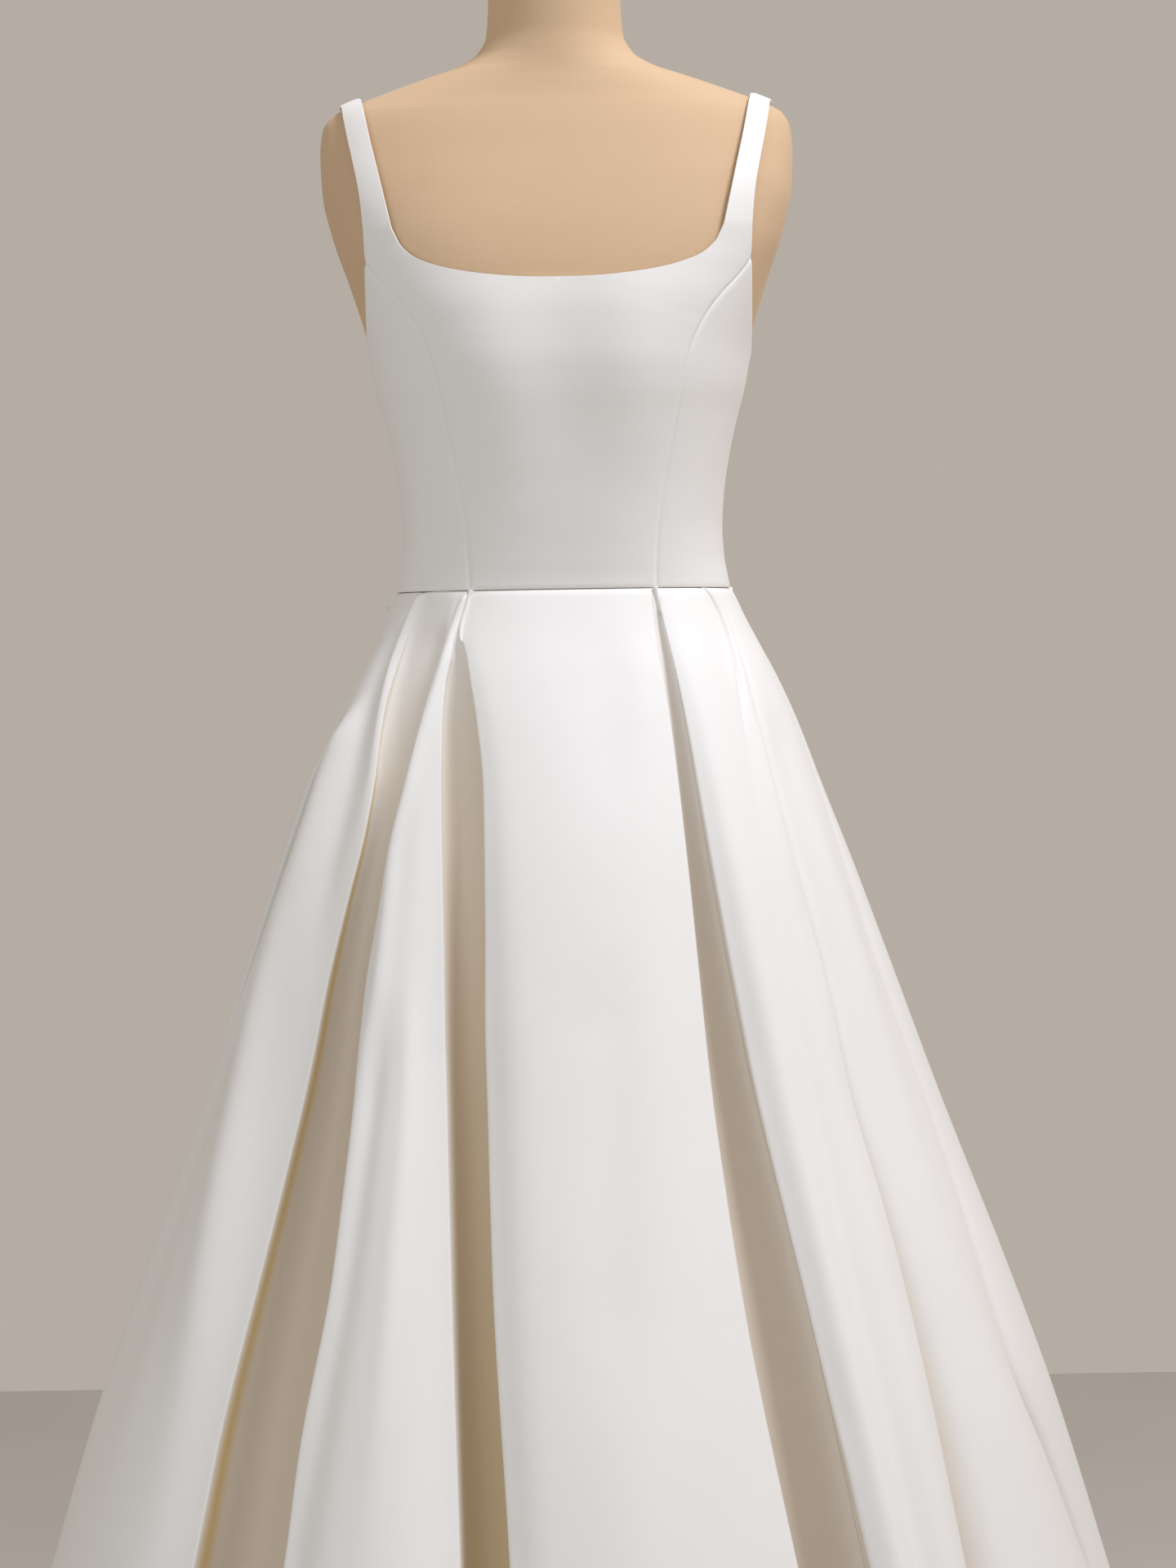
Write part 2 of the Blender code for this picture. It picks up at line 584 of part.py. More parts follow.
def gore_row(section, pleats, down):
    """Points of one gore at one height, from the seam in its first pleat to its last one."""
    points = []
    for index, pleat in enumerate(pleats):
        first = pleat.seam if index == 0 else -1.0
        last = pleat.seam if index == len(pleats) - 1 else 1.0
        steps = [step for step in VALLEY_STEPS if first <= step <= last]
        points += [valley_point(section, pleat, step, down) for step in steps]
        if last == 1.0:
            shares = [k / PANEL_STEPS for k in range(1, PANEL_STEPS)]
            after = pleats[index + 1]
            points += [panel_point(section, pleat, after, share, down) for share in shares]
    start = moved_towards(points[0], points[1], SEAM_GAP / 2.0)
    end = moved_towards(points[-1], points[-2], SEAM_GAP / 2.0)
    return [start] + points[1:-1] + [end]


def skirt(collection):
    pleats = all_pleats()
    names = [pleat.name for pleat in pleats]
    for gore in GORES:
        first = names.index(gore.first)
        last = names.index(gore.last, first + 1)
        rows = []
        for height in reversed(SKIRT_HEIGHTS):
            section = section_at(SKIRT, height)
            rows.append(gore_row(section, pleats[first : last + 1], way_down(height)))
        sheet(gore.name, rows, SATIN, collection, from_axis, -1.0)


def main():
    clear_scene()
    collection = parts_collection()
    torso(collection)
    stand(collection)
    bodice(collection)
    skirt(collection)


main()
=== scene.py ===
# %% [markdown]
# # A satin wedding dress on its dress form
#
# A maker cuts this dress from fourteen pieces of heavy satin: seven for the bodice and
# seven gores for the skirt. The pleats are not pressed. Each one is folded at the waist
# seam and left to open on its way down, so the skirt hangs in deep, uneven valleys
# between round panels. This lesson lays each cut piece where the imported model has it,
# adds the seams, creases and stitches that cloth shows, and dresses the form and its
# stand.

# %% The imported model, loaded as a fixed frame
import math
from collections import namedtuple
from functools import partial

import bmesh
import bpy
import numpy as np
from mathutils import Matrix, Vector


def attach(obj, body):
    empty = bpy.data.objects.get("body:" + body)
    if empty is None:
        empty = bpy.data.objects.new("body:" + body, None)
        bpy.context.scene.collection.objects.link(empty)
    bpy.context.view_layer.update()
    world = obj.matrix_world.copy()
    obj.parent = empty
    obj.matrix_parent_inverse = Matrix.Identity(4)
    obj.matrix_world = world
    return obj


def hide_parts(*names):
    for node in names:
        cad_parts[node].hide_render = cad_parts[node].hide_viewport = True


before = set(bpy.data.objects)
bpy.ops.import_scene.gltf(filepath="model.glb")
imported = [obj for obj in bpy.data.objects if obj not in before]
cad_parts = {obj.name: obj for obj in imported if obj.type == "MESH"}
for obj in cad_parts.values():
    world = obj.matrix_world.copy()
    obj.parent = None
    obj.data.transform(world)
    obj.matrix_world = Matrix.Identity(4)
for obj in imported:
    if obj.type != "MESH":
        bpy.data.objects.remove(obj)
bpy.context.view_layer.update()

print("nodes in the frame:", len(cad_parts))

# %% [markdown]
# ## Sizes
#
# The dress and the form are described by level sections, each a rounded box given by
# four numbers. The same tables made the rigid solids, so the fine cloth lies in the
# space that its solid holds. Everything is in metres unless a table says otherwise, the
# front looks to -Y, and left means -X, the left of someone who faces the dress.

# %% Sections of the form and of the skirt
CLOTH = 0.0018  # the wall: satin, interfacing and lining sewn as one
EASE = 0.0015  # between the form and the cloth
WAIST_SEAM = 1.0195
SEAM_GAP = 0.0004
HEM = 0.012

# A row is a height, a half width, the depths to the front and to the back, a squareness.
TORSO = np.array([
    (0.800, 0.1640, 0.1120, 0.1220, 2.35), (0.860, 0.1610, 0.1110, 0.1180, 2.35),
    (0.920, 0.1510, 0.1050, 0.1070, 2.35), (0.970, 0.1395, 0.0985, 0.0960, 2.35),
    (1.000, 0.1335, 0.0958, 0.0908, 2.35), (1.0195, 0.1312, 0.0952, 0.0892, 2.35),
    (1.045, 0.1268, 0.0970, 0.0875, 2.35), (1.068, 0.1254, 0.0995, 0.0870, 2.35),
    (1.095, 0.1270, 0.1030, 0.0880, 2.35), (1.125, 0.1313, 0.1074, 0.0915, 2.35),
    (1.155, 0.1378, 0.1113, 0.0965, 2.35), (1.180, 0.1445, 0.1142, 0.1010, 2.38),
    (1.205, 0.1495, 0.1159, 0.1045, 2.42), (1.235, 0.1580, 0.1154, 0.1065, 2.55),
    (1.268, 0.1685, 0.1114, 0.1070, 2.75), (1.300, 0.1795, 0.1032, 0.1055, 2.90),
    (1.338, 0.1880, 0.0893, 0.0985, 2.90), (1.370, 0.1895, 0.0765, 0.0890, 2.70),
    (1.387, 0.1880, 0.0700, 0.0825, 2.50), (1.399, 0.1820, 0.0650, 0.0775, 2.35),
    (1.410, 0.1600, 0.0605, 0.0725, 2.20), (1.421, 0.1310, 0.0570, 0.0690, 2.10),
    (1.430, 0.1050, 0.0545, 0.0660, 2.05), (1.438, 0.0810, 0.0530, 0.0630, 2.00),
    (1.449, 0.0630, 0.0515, 0.0595, 2.00), (1.464, 0.0550, 0.0500, 0.0560, 2.00),
    (1.495, 0.0530, 0.0500, 0.0540, 2.00), (1.535, 0.0530, 0.0510, 0.0540, 2.00),
])
SKIRT = np.array([
    (HEM, 0.4840, 0.4380, 0.4880, 2.00), (0.230, 0.4240, 0.3780, 0.4240, 2.00),
    (0.370, 0.3840, 0.3360, 0.3800, 2.00), (0.470, 0.3500, 0.3040, 0.3430, 2.00),
    (0.610, 0.2990, 0.2570, 0.2880, 2.00), (0.720, 0.2610, 0.2200, 0.2440, 2.05),
    (0.820, 0.2260, 0.1850, 0.2010, 2.12), (0.910, 0.1905, 0.1490, 0.1560, 2.20),
    (0.950, 0.1720, 0.1310, 0.1340, 2.25), (0.990, 0.1500, 0.1110, 0.1090, 2.30),
    (WAIST_SEAM - SEAM_GAP, 0.1345, 0.0985, 0.0925, 2.35),
])
print("sections:", len(TORSO), "of the form,", len(SKIRT), "of the skirt")


# %% Smooth curves through short tables
def mixed(start, end, share):
    return start + (end - start) * share


def cubic(t, step, low, high, low_slope, high_slope):
    """From low to high as t goes from 0 to 1, with the slopes given at both ends."""
    start = (1 + 2 * t) * (1 - t) ** 2 * low + t * (1 - t) ** 2 * step * low_slope
    end = t * t * (3 - 2 * t) * high + t * t * (t - 1) * step * high_slope
    return start + end


def smooth(places, values, at):
    """Monotone cubic through the rows of values; places rise. Level past both ends."""
    flat = values.ndim == 1
    values = values[:, None] if flat else values
    steps = np.diff(places)[:, None]
    slopes = np.diff(values, axis=0) / steps
    before, after = slopes[:-1], slopes[1:]
    same_way = before * after > 0.0
    inner = np.where(same_way, 2.0 * before * after / np.where(same_way, before + after, 1.0), 0.0)
    tangents = np.vstack([slopes[:1], inner, slopes[-1:]])
    at = np.clip(at, places[0], places[-1])
    k = np.clip(np.searchsorted(places, at, side="right") - 1, 0, len(places) - 2)
    t = ((at - places[k]) / steps[k, 0])[..., None]
    found = cubic(t, steps[k], values[k], values[k + 1], tangents[k], tangents[k + 1])
    return found[..., 0] if flat else found


def sections_at(table, heights):
    """Half width, front depth, back depth and squareness at each height."""
    return smooth(table[:, 0], table[:, 1:], heights)


def ring_xy(sizes, angle, lift=0.0):
    """Points at angles from the front, positive to +X, on sections lifted outwards."""
    half, front, back, squareness = np.moveaxis(sizes, -1, 0)
    power = 2.0 / squareness
    sine, cosine = np.sin(angle), np.cos(angle)
    depth = np.where(cosine >= 0.0, front, back)
    x = (half + lift) * np.sign(sine) * np.abs(sine) ** power
    y = -(depth + lift) * np.sign(cosine) * np.abs(cosine) ** power
    return np.stack([x, y], axis=-1)


def at_height(flat, z):
    """Level points with their heights."""
    return np.concatenate([flat, np.broadcast_to(z, flat.shape[:-1])[..., None]], axis=-1)


print("narrowest half width of the form: %.1f mm" % (TORSO[:, 1][TORSO[:, 0] < 1.3].min() * 1000))

# %% [markdown]
# ## The skirt as one ring of cloth
#
# On the real skirt the seven gores are sewn into one ring before the pleats are laid,
# and the seams hide in the valleys. So the ring is worked out whole, level by level,
# and cut into gores afterwards. At each level a pleat is a valley between two edges. A
# crisp edge hangs over the bottom of its valley, and a soft one rolls down into it. A
# table holds the places and the sides of the pleats, since a table is easy to compare
# with a real dress.

# %% The pleats and the gores
# A side of a valley: how far the bottom lies under its edge, in widths of the mouth; how
# flat the bottom stays towards it; 1 for a crisp edge or 2 for a soft one, at the waist
# and at the hem; the width of the roll with which the cloth turns the edge at the hem; how
# far the panel sinks towards the edge there, and from how far away it begins to sink.
Side = namedtuple("Side", "under flat ease_waist ease_hem roll drop reach")
CRISP = Side(0.60, 2.0, 1.0, 1.0, 0.0030, 0.005, 0.014)
SOFT = Side(-0.60, 2.0, 2.0, 2.0, 0.0065, 0.002, 0.014)
# A row of a pleat is in thousandths: of the way down from the waist to the hem; and of a
# metre, its left and right edges round the skirt from the centre front, and its depth.
# A pleat's seam is the step across it, from -1 to 1, at which two gores meet.
# Its painted glow is the middle and width, in steps, and the strength of a golden strip of
# painted bounce light, and the depth from which it has that strength. Its tint is how strongly
# the painted warm shade colours the fold.
Pleat = namedtuple("Pleat", "name rows left right seam glow tint turn", defaults=(0.0, None, 1.0, 0))
MILLI = 0.001
WAIST_MOUTH = 4.0  # mm
DEPTH_POWER = 0.65
SEWN_DOWN = 0.04  # share of the way down over which the seam still holds a plain pleat shut
PLAIN_DOWNS = (0.0, 0.02, SEWN_DOWN, 0.12, 0.30, 0.60, 1.0)
CROWN = 0.014  # how far a panel rounds out at the hem


def plain_rows(waist, hem_left, hem_right, depth, opening):
    """Rows of a pleat that runs straight from its place at the waist to the hem."""
    rows = []
    for way in PLAIN_DOWNS:
        centre = mixed(waist, (hem_left + hem_right) / 2.0, way)
        half = mixed(WAIST_MOUTH, hem_right - hem_left, way**opening) / 2.0
        deep = depth * way**DEPTH_POWER * min(1.0, way / SEWN_DOWN) ** 2
        rows.append((way / MILLI, centre - half, centre + half, deep))
    return rows


PLEATS = [
    Pleat("back_left_inner", plain_rows(-352, -1345, -1265, 62, 0.8), SOFT, CRISP),
    Pleat("back_left_outer", plain_rows(-292, -1125, -1040, 70, 1.0), CRISP, SOFT),
    Pleat("side_left", plain_rows(-216, -880, -800, 60, 0.9), CRISP, SOFT),
    Pleat("front_left_outer", [
        (0, -121.5, -80.0, 0), (20, -131.0, -86.5, 4), (42, -139.5, -93.5, 8),
        (93, -153.5, -108.0, 14), (146, -160.0, -126.0, 19), (190, -170.0, -139.5, 25),
        (235, -184.8, -150.0, 31), (300, -205.0, -165.0, 40), (356, -218.3, -171.0, 47),
        (435, -240.0, -181.0, 56), (514, -263.0, -192.1, 64), (630, -297.5, -218.5, 74),
        (710, -316.5, -231.5, 81), (1000, -390.0, -290.6, 96),
    ], Side(0.80, 2.0, 1.0, 1.0, 0.0025, 0.022, 0.034),
       Side(0.20, 3.0, 1.7, 1.0, 0.0035, 0.000, 0.014), glow=(-0.86, 0.07, 0.9, 0.020), tint=0.85),
    Pleat("front_left_inner", [
        (0, -71.0, -66.8, 0), (16, -76.0, -71.5, 0), (28, -80.0, -75.5, 0.2),
        (36, -81.5, -76.5, 1.5), (50, -83.2, -72.7, 7), (68, -88.0, -69.6, 12),
        (99, -92.0, -64.8, 18), (150, -93.5, -60.8, 24), (250, -93.8, -62.6, 31),
        (350, -95.0, -65.5, 38), (500, -92.0, -63.0, 46), (700, -86.0, -52.5, 56),
        (1000, -78.5, -41.0, 68),
    ], Side(0.50, 4.0, 1.0, 1.0, 0.0020, 0.014, 0.024),
       Side(0.90, 2.5, 1.0, 1.0, 0.0045, 0.010, 0.012), 0.58, (0.10, 0.60, 0.55, 0.060)),
    Pleat("front_right_inner", [
        (0, 63.5, 67.5, 0), (15, 65.0, 70.2, 4), (45, 68.2, 77.0, 9), (100, 77.5, 89.0, 16),
        (215, 91.5, 110.0, 28), (356, 107.0, 138.5, 40), (530, 130.0, 179.0, 52),
        (700, 163.5, 219.0, 62), (1000, 232.0, 290.0, 75),
    ], Side(0.20, 6.0, 1.0, 1.0, 0.0050, 0.004, 0.020),
       Side(1.10, 3.0, 1.0, 1.0, 0.0040, 0.013, 0.013), 0.58, tint=0.70),
    Pleat("front_right_pinch", [
        (0, 122.5, 125.5, 0), (8, 130.0, 133.5, 3), (19, 137.2, 141.2, 5), (39, 145.0, 149.0, 6),
        (59, 147.8, 151.4, 5), (85, 150.0, 153.2, 3), (130, 152.5, 156.0, 0.4),
        (200, 160.0, 165.0, 0), (1000, 333.0, 339.0, 0),
    ], Side(0.90, 2.0, 1.0, 1.0, 0.0020, 0.0, 0.014), Side(-0.30, 2.0, 2.0, 2.0, 0.0030, 0.0, 0.014)),
    Pleat("front_right_outer", [
        (0, 138.0, 142.0, 0), (21, 156.0, 160.0, 2), (52, 164.0, 168.0, 3), (116, 175.5, 180.0, 4),
        (241, 206.0, 212.0, 4.5), (300, 223.5, 230.0, 5), (390, 243.6, 253.0, 7),
        (480, 272.4, 290.0, 11), (580, 295.8, 329.0, 18), (730, 324.0, 375.0, 30),
        (1000, 375.0, 443.0, 47),
    ], Side(0.60, 2.0, 1.0, 1.0, 0.0050, 0.006, 0.016), Side(-0.60, 1.8, 2.0, 2.0, 0.0080, 0.0, 0.014)),
    Pleat("side_right", [
        (0, 223, 227, 0), (30, 233, 239, 3), (120, 270, 278, 4), (300, 330, 345, 8),
        (466, 397, 415, 13), (605, 434, 456, 18), (690, 490, 515, 22), (783, 551, 580, 26),
        (1000, 660, 705, 40),
    ], CRISP, SOFT, -0.58),
    Pleat("back_right_outer", plain_rows(300, 955, 1045, 72, 0.9), SOFT, CRISP),
    Pleat("back_right_inner", plain_rows(354, 1225, 1305, 65, 1.0), CRISP, SOFT),
    Pleat("centre_back", plain_rows(422.5, 1480, 1560, 70, 0.8), SOFT, CRISP),
]
RING = [PLEATS[-1]._replace(name="centre_back_start", turn=-1)] + PLEATS

# The flat size of a gore is its hem by its length, and its area that of its net cut.
Gore = namedtuple("Gore", "name node first last flat area")
GORES = [Gore(*row) for row in (
    ("centre_front_gore", "skirt_centre_front", "front_left_inner", "front_right_inner",
     (0.48, 1.07), 0.345),
    ("side_front_gore_right", "skirt_side_front_right", "front_right_inner", "side_right",
     (0.53, 1.08), 0.318),
    ("side_back_gore_right", "skirt_side_back_right", "side_right", "back_right_inner",
     (0.76, 1.09), 0.486),
    ("back_gore_right", "skirt_back_right", "back_right_inner", "centre_back", (0.40, 1.11), 0.258),
    ("back_gore_left", "skirt_back_left", "centre_back_start", "back_left_inner", (0.40, 1.11), 0.341),
    ("side_back_gore_left", "skirt_side_back_left", "back_left_inner", "side_left", (0.62, 1.09), 0.407),
    ("side_front_gore_left", "skirt_side_front_left", "side_left", "front_left_inner",
     (1.07, 1.08), 0.647),
)]
print("pleats:", len(PLEATS), " gores:", len(GORES))

# %% [markdown]
# Between its pleats the cloth isn't quite smooth. Long soft ridges and troughs run down
# from the waist, where the pleats pull on it, and each fades out somewhere else. They
# are given in millimetres: a line of heights and places, the width of the ridge
# at its top and its foot, how far it stands out or, below zero, dips in, and the lengths
# over which it fades at its top and its foot.

# %% Soft creases
Crease = namedtuple("Crease", "name line top_width foot_width relief fade_top fade_foot")
CREASES = [Crease(*row) for row in (
    ("left_ridge_top", [(1018, -71.3), (1008, -76.2), (997, -80.8), (976, -87.8), (955, -95.0)],
     2.0, 4.8, 3.6, 4, 45),
    ("left_ridge", [(997, -80.8), (976, -87.4), (926, -105.0), (895, -116.5), (872, -123.0),
                    (842, -132.5), (820, -138.0), (784, -142.0), (723, -150.0), (663, -164.0),
                    (580, -175.5), (500, -188.0), (400, -209.0), (300, -227.0)], 4.8, 9, 5, 35, 250),
    ("left_hollow", [(996, -96.5), (977, -103), (942, -118), (907, -134), (870, -143), (832, -148)],
     6, 8, -6, 30, 60),
    ("left_lip", [(1018, -125), (983, -144), (958, -153), (920, -160.5), (870, -168), (800, -187)],
     3, 7, 4.8, 4, 160),
    ("left_grey", [(1000, -150), (971, -168), (920, -182), (876, -191), (844, -201), (794, -215),
                   (700, -240)], 8, 15, -5.5, 30, 120),
    ("far_left_waist", [(1005, -220), (960, -245), (900, -285), (860, -310)], 30, 40, -5, 25, 50),
    ("far_left_crest", [(942, -191.5), (931, -198), (888, -223.6), (853, -236), (812, -252),
                        (774, -269), (720, -287), (600, -310), (411, -345), (300, -370)],
     13, 21, 11, 42, 300),
    ("far_left_hollow", [(930, -240), (738, -345), (500, -430), (250, -530)], 18, 36, -9, 100, 220),
    ("left_dip", [(720, -143), (600, -164), (500, -180), (400, -199), (307, -217), (120, -253)],
     8, 12, -5, 100, 150),
    ("left_faint", [(744, -120), (651, -124), (544, -133), (427, -144), (250, -165)], 5, 8, 2.6, 80, 250),
    ("centre_trough_high", [(995, 25), (879, 28), (800, 29)], 14, 20, -2.2, 60, 100),
    ("centre_trough_left", [(760, 6), (665, 2), (500, -2)], 14, 18, -1.6, 80, 120),
    ("centre_trough_right", [(760, 30), (664, 30), (500, 28), (380, 26)], 14, 18, -3, 80, 120),
    ("centre_low_ridge", [(520, 45), (375, 42), (229, 40), (12, 42)], 26, 34, 6, 200, 100),
    ("right_short_crease", [(1018, 127.5), (1000, 141.5), (979, 149.5), (960, 152), (943, 153),
                            (915, 154.5)], 2.2, 2.6, -4, 3, 40),
    ("right_short_lip", [(1018, 122.5), (1000, 136.2), (979, 144), (960, 146.4), (943, 147.4),
                         (915, 148.5)], 3, 4, 2, 3, 40),
    ("right_inner_ridge", [(420, 190), (367, 208), (303, 226), (100, 272)], 6, 10, 1.6, 60, 120),
    ("right_fold_line", [(933, 165), (864, 179.5), (814, 194), (757, 218), (653, 237), (536, 266)],
     6, 10, 2.2, 50, 200),
    ("right_fold_hollow", [(940, 192), (833, 225), (680, 275), (482, 340)], 12, 22, -3.5, 60, 200),
    ("right_side_hollow", [(930, 205), (760, 300), (520, 365), (300, 430)], 14, 26, -3, 120, 220),
    ("side_left_ridge", [(950, -262), (700, -520), (400, -760), (150, -900)], 14, 30, 5, 100, 250),
    ("side_left_back_hollow", [(880, -360), (640, -640), (350, -900)], 16, 34, -5, 120, 250),
    ("back_left_ridge", [(960, -330), (720, -640), (450, -890), (200, -1130)], 12, 26, 5, 80, 300),
    ("back_left_trough", [(940, -400), (740, -730), (480, -1040), (250, -1290)], 12, 26, -4.2, 100, 250),
    ("back_right_ridge", [(950, 330), (700, 620), (450, 840), (180, 1080)], 12, 28, 5.5, 80, 300),
    ("back_right_trough", [(930, 395), (700, 730), (430, 1010), (150, 1330)], 14, 28, -4.5, 100, 250),
    ("side_right_hollow", [(930, 290), (700, 420), (420, 560), (150, 700)], 18, 40, -2, 100, 250),
)]
print("creases:", len(CREASES))


# %% The ring, level by level
SUNK_DOWN = 0.35  # below this share of the way down an edge has sunk in full
WAIST_REACH = 0.35  # how much closer to its edge a panel begins to sink at the waist
ROW_STEP = 0.0080
WAIST_ROW_STEP = 0.0030
WAIST_ZONE = 0.060  # below the seam, where rows lie closer
COLUMN_STEP = 0.0056
FEWEST_COLUMNS = 26  # of a panel
EDGE_CROWDING = 0.75  # how much closer a panel's columns lie at its two edges
VALLEY_COLUMNS = 24  # from a valley's edge to its bottom
VALLEY_CROWDING = 0.5
ROLL_AT_WAIST = 0.0009
ROLL_POWER = 0.45
RIGHT_SLIM = 0.0045  # how much the right side hangs closer in than the left
SLIM_DOWN = 0.15
SLIM_POWER = 4
FREE_DOWN = 0.60  # below this share of the way down a valley has the sides of its hem
LEAN_LIMIT = 2.2  # times its depth, the widest mouth by which a valley leans
# FULL_FOLD and FOLD_POWER only set how the painted fold shade grows with depth.
FULL_FOLD = 0.042  # depth from which light hardly reaches a valley's bottom
FOLD_POWER = 0.6
SMALL_TURN = 0.001  # an angle over which a section is straight

half_steps = np.arange(1, VALLEY_COLUMNS + 1) / VALLEY_COLUMNS
half_steps = mixed(half_steps, np.sin(half_steps * math.pi / 2.0), VALLEY_CROWDING)
VALLEY_STEPS = np.concatenate([-half_steps[::-1], [0.0], half_steps])


def bell(apart):
    return np.exp(-0.5 * apart**2)


def row_heights():
    top = WAIST_SEAM - SEAM_GAP
    near = np.arange(0.0, WAIST_ZONE, WAIST_ROW_STEP)
    rest = np.linspace(WAIST_ZONE, top - HEM, int((top - HEM - WAIST_ZONE) / ROW_STEP))
    return (top - np.concatenate([near, rest]))[::-1]


def mouth(half_width, pleat, down):
    """Centre and half width of a pleat's mouth, as angles, and its depth at each level."""
    rows = np.array(pleat.rows) * MILLI
    left, right, depth = smooth(rows[:, 0], rows[:, 1:], down).T
    centre = (left + right) / 2.0 / half_width + math.tau * pleat.turn
    return centre, (right - left) / 2.0 / half_width, depth


def valley_columns(half_width, pleat, down):
    """Angle, inward depth, lean, sink, roll and painted shade and glow shares of the columns across a
    valley.
    """
    steps = VALLEY_STEPS
    to_right = (1.0 + steps) / 2.0
    hung = np.minimum(1.0, down / FREE_DOWN)[:, None]
    left, right = (
        (1.0 - np.abs(steps) ** side.flat) ** mixed(side.ease_waist, side.ease_hem, hung)
        for side in (pleat.left, pleat.right)
    )
    shape = np.where(steps > 0.0, right, left)
    centre, half, depth = mouth(half_width, pleat, down)
    under = mixed(-pleat.left.under, pleat.right.under, to_right)
    lean = np.minimum(2.0 * half * half_width, LEAN_LIMIT * depth)[:, None] * shape * under
    # Painted shade: the share of warm beige painted into the colour grows with the valley's depth.
    deep = np.minimum(1.0, depth / FULL_FOLD)[:, None] ** FOLD_POWER
    fold = np.stack([deep * shape * pleat.tint, np.zeros_like(shape * deep)], axis=-1)
    # Painted glow: a golden strip of painted bounce light near one edge of some valleys.
    if pleat.glow:
        middle, width, strength, full = pleat.glow
        grown = np.minimum(1.0, depth / full)[:, None] ** 2
        fold[..., 1] = grown * strength * bell((steps - middle) / width)
    roll = np.broadcast_to(mixed(pleat.left.roll, pleat.right.roll, to_right), shape.shape)
    sunk = np.minimum(1.0, down / SUNK_DOWN)[:, None]
    sink = mixed(pleat.left.drop, pleat.right.drop, to_right) * sunk
    return centre[:, None] + half[:, None] * steps, depth[:, None] * shape, lean, sink, roll, fold


def panel_columns(half_width, before, after, down):
    """The same for the panel between two pleats; it rounds out by its crown."""
    centre, half, _ = mouth(half_width, before, down)
    next_centre, next_half, _ = mouth(half_width, after, down)
    start, end = (centre + half)[:, None], (next_centre - next_half)[:, None]
    width, grown = (end - start) * half_width[:, None], np.minimum(1.0, down / SUNK_DOWN)[:, None]
    count = max(FEWEST_COLUMNS, round(float(width[0, 0]) / COLUMN_STEP))
    share = np.arange(1, count) / count
    share = mixed(share, (1.0 - np.cos(math.pi * share)) / 2.0, EDGE_CROWDING)[None, :]
    angle = mixed(start, end, share)
    crown = CROWN * down[:, None] * np.sin(math.pi * share)
    roll = np.broadcast_to(mixed(before.right.roll, after.left.roll, share), angle.shape)
    sink = 0.0
    for side, apart in ((before.right, width * share), (after.left, width * (1.0 - share))):
        sink = sink + side.drop * grown * bell(apart / (side.reach * mixed(WAIST_REACH, 1.0, grown)))
    return angle, -crown, np.zeros_like(angle), sink, roll, np.zeros(angle.shape + (2,))


def crease_relief(place, heights, fold):
    """How far the creases push each point out."""
    relief = np.zeros_like(place)
    for crease in CREASES:
        line = np.array(sorted(crease.line)) * MILLI
        top_width, foot_width, height, fade_top, fade_foot = np.array(crease[2:]) * MILLI
        low, high = line[0, 0], line[-1, 0]
        width = np.interp(heights, [low, high], [foot_width, top_width])[:, None]
        runs_out = 0.0 if low > HEM + MEET else 1.0  # over the hem, with no fade
        fade = np.clip((heights - low) / fade_foot + runs_out, 0.0, 1.0)
        fade = fade * np.clip((high - heights) / fade_top, 0.0, 1.0)
        fade = fade * fade * (3.0 - 2.0 * fade)
        middle = smooth(line[:, 0], line[:, 1], heights)[:, None]
        relief += height * fade[:, None] * bell((place - middle) / width)
    return relief * (1.0 - fold[..., 0]) ** 2


def lay_ring():
    """Points of the whole ring with its painted fold shade and glow shares and its rolls, and where its
    seams are.
    """
    heights = row_heights()
    down = (heights[-1] - heights) / (heights[-1] - HEM)
    sizes = sections_at(SKIRT, heights)
    half_width = sizes[:, 0]
    blocks, seams, count = [], {}, -VALLEY_COLUMNS
    for pleat, after in zip(RING, RING[1:] + [None]):
        seams[pleat.name] = count + int(np.argmin(np.abs(VALLEY_STEPS - pleat.seam)))
        blocks.append(valley_columns(half_width, pleat, down))
        if after:
            blocks.append(panel_columns(half_width, pleat, after, down))
        count = sum(block[0].shape[1] for block in blocks) - VALLEY_COLUMNS
    cut_open = np.s_[:, VALLEY_COLUMNS:-VALLEY_COLUMNS]  # at the centre back
    angle, depth, lean, sink, roll, fold = (
        np.concatenate(parts, axis=1)[cut_open] for parts in zip(*blocks)
    )
    depth = depth - crease_relief(angle * half_width[:, None], heights, fold)
    sizes = sizes[:, None, :]
    along = ring_xy(sizes, angle + SMALL_TURN) - ring_xy(sizes, angle - SMALL_TURN)
    along /= np.linalg.norm(along, axis=-1, keepdims=True)
    inward = np.stack([-along[..., 1], along[..., 0]], axis=-1)
    flat = ring_xy(sizes, angle) + inward * depth[..., None] + along * lean[..., None]
    to_side = np.clip(flat[..., 0] / half_width[:, None], 0.0, 1.0)
    flat[..., 1] += sink * np.cos(angle)  # straight back, so that an edge keeps its place
    flat[..., 0] -= RIGHT_SLIM * np.minimum(1.0, down / SLIM_DOWN)[:, None] * to_side**SLIM_POWER
    return at_height(flat, heights[:, None]), fold, roll, seams, heights, down


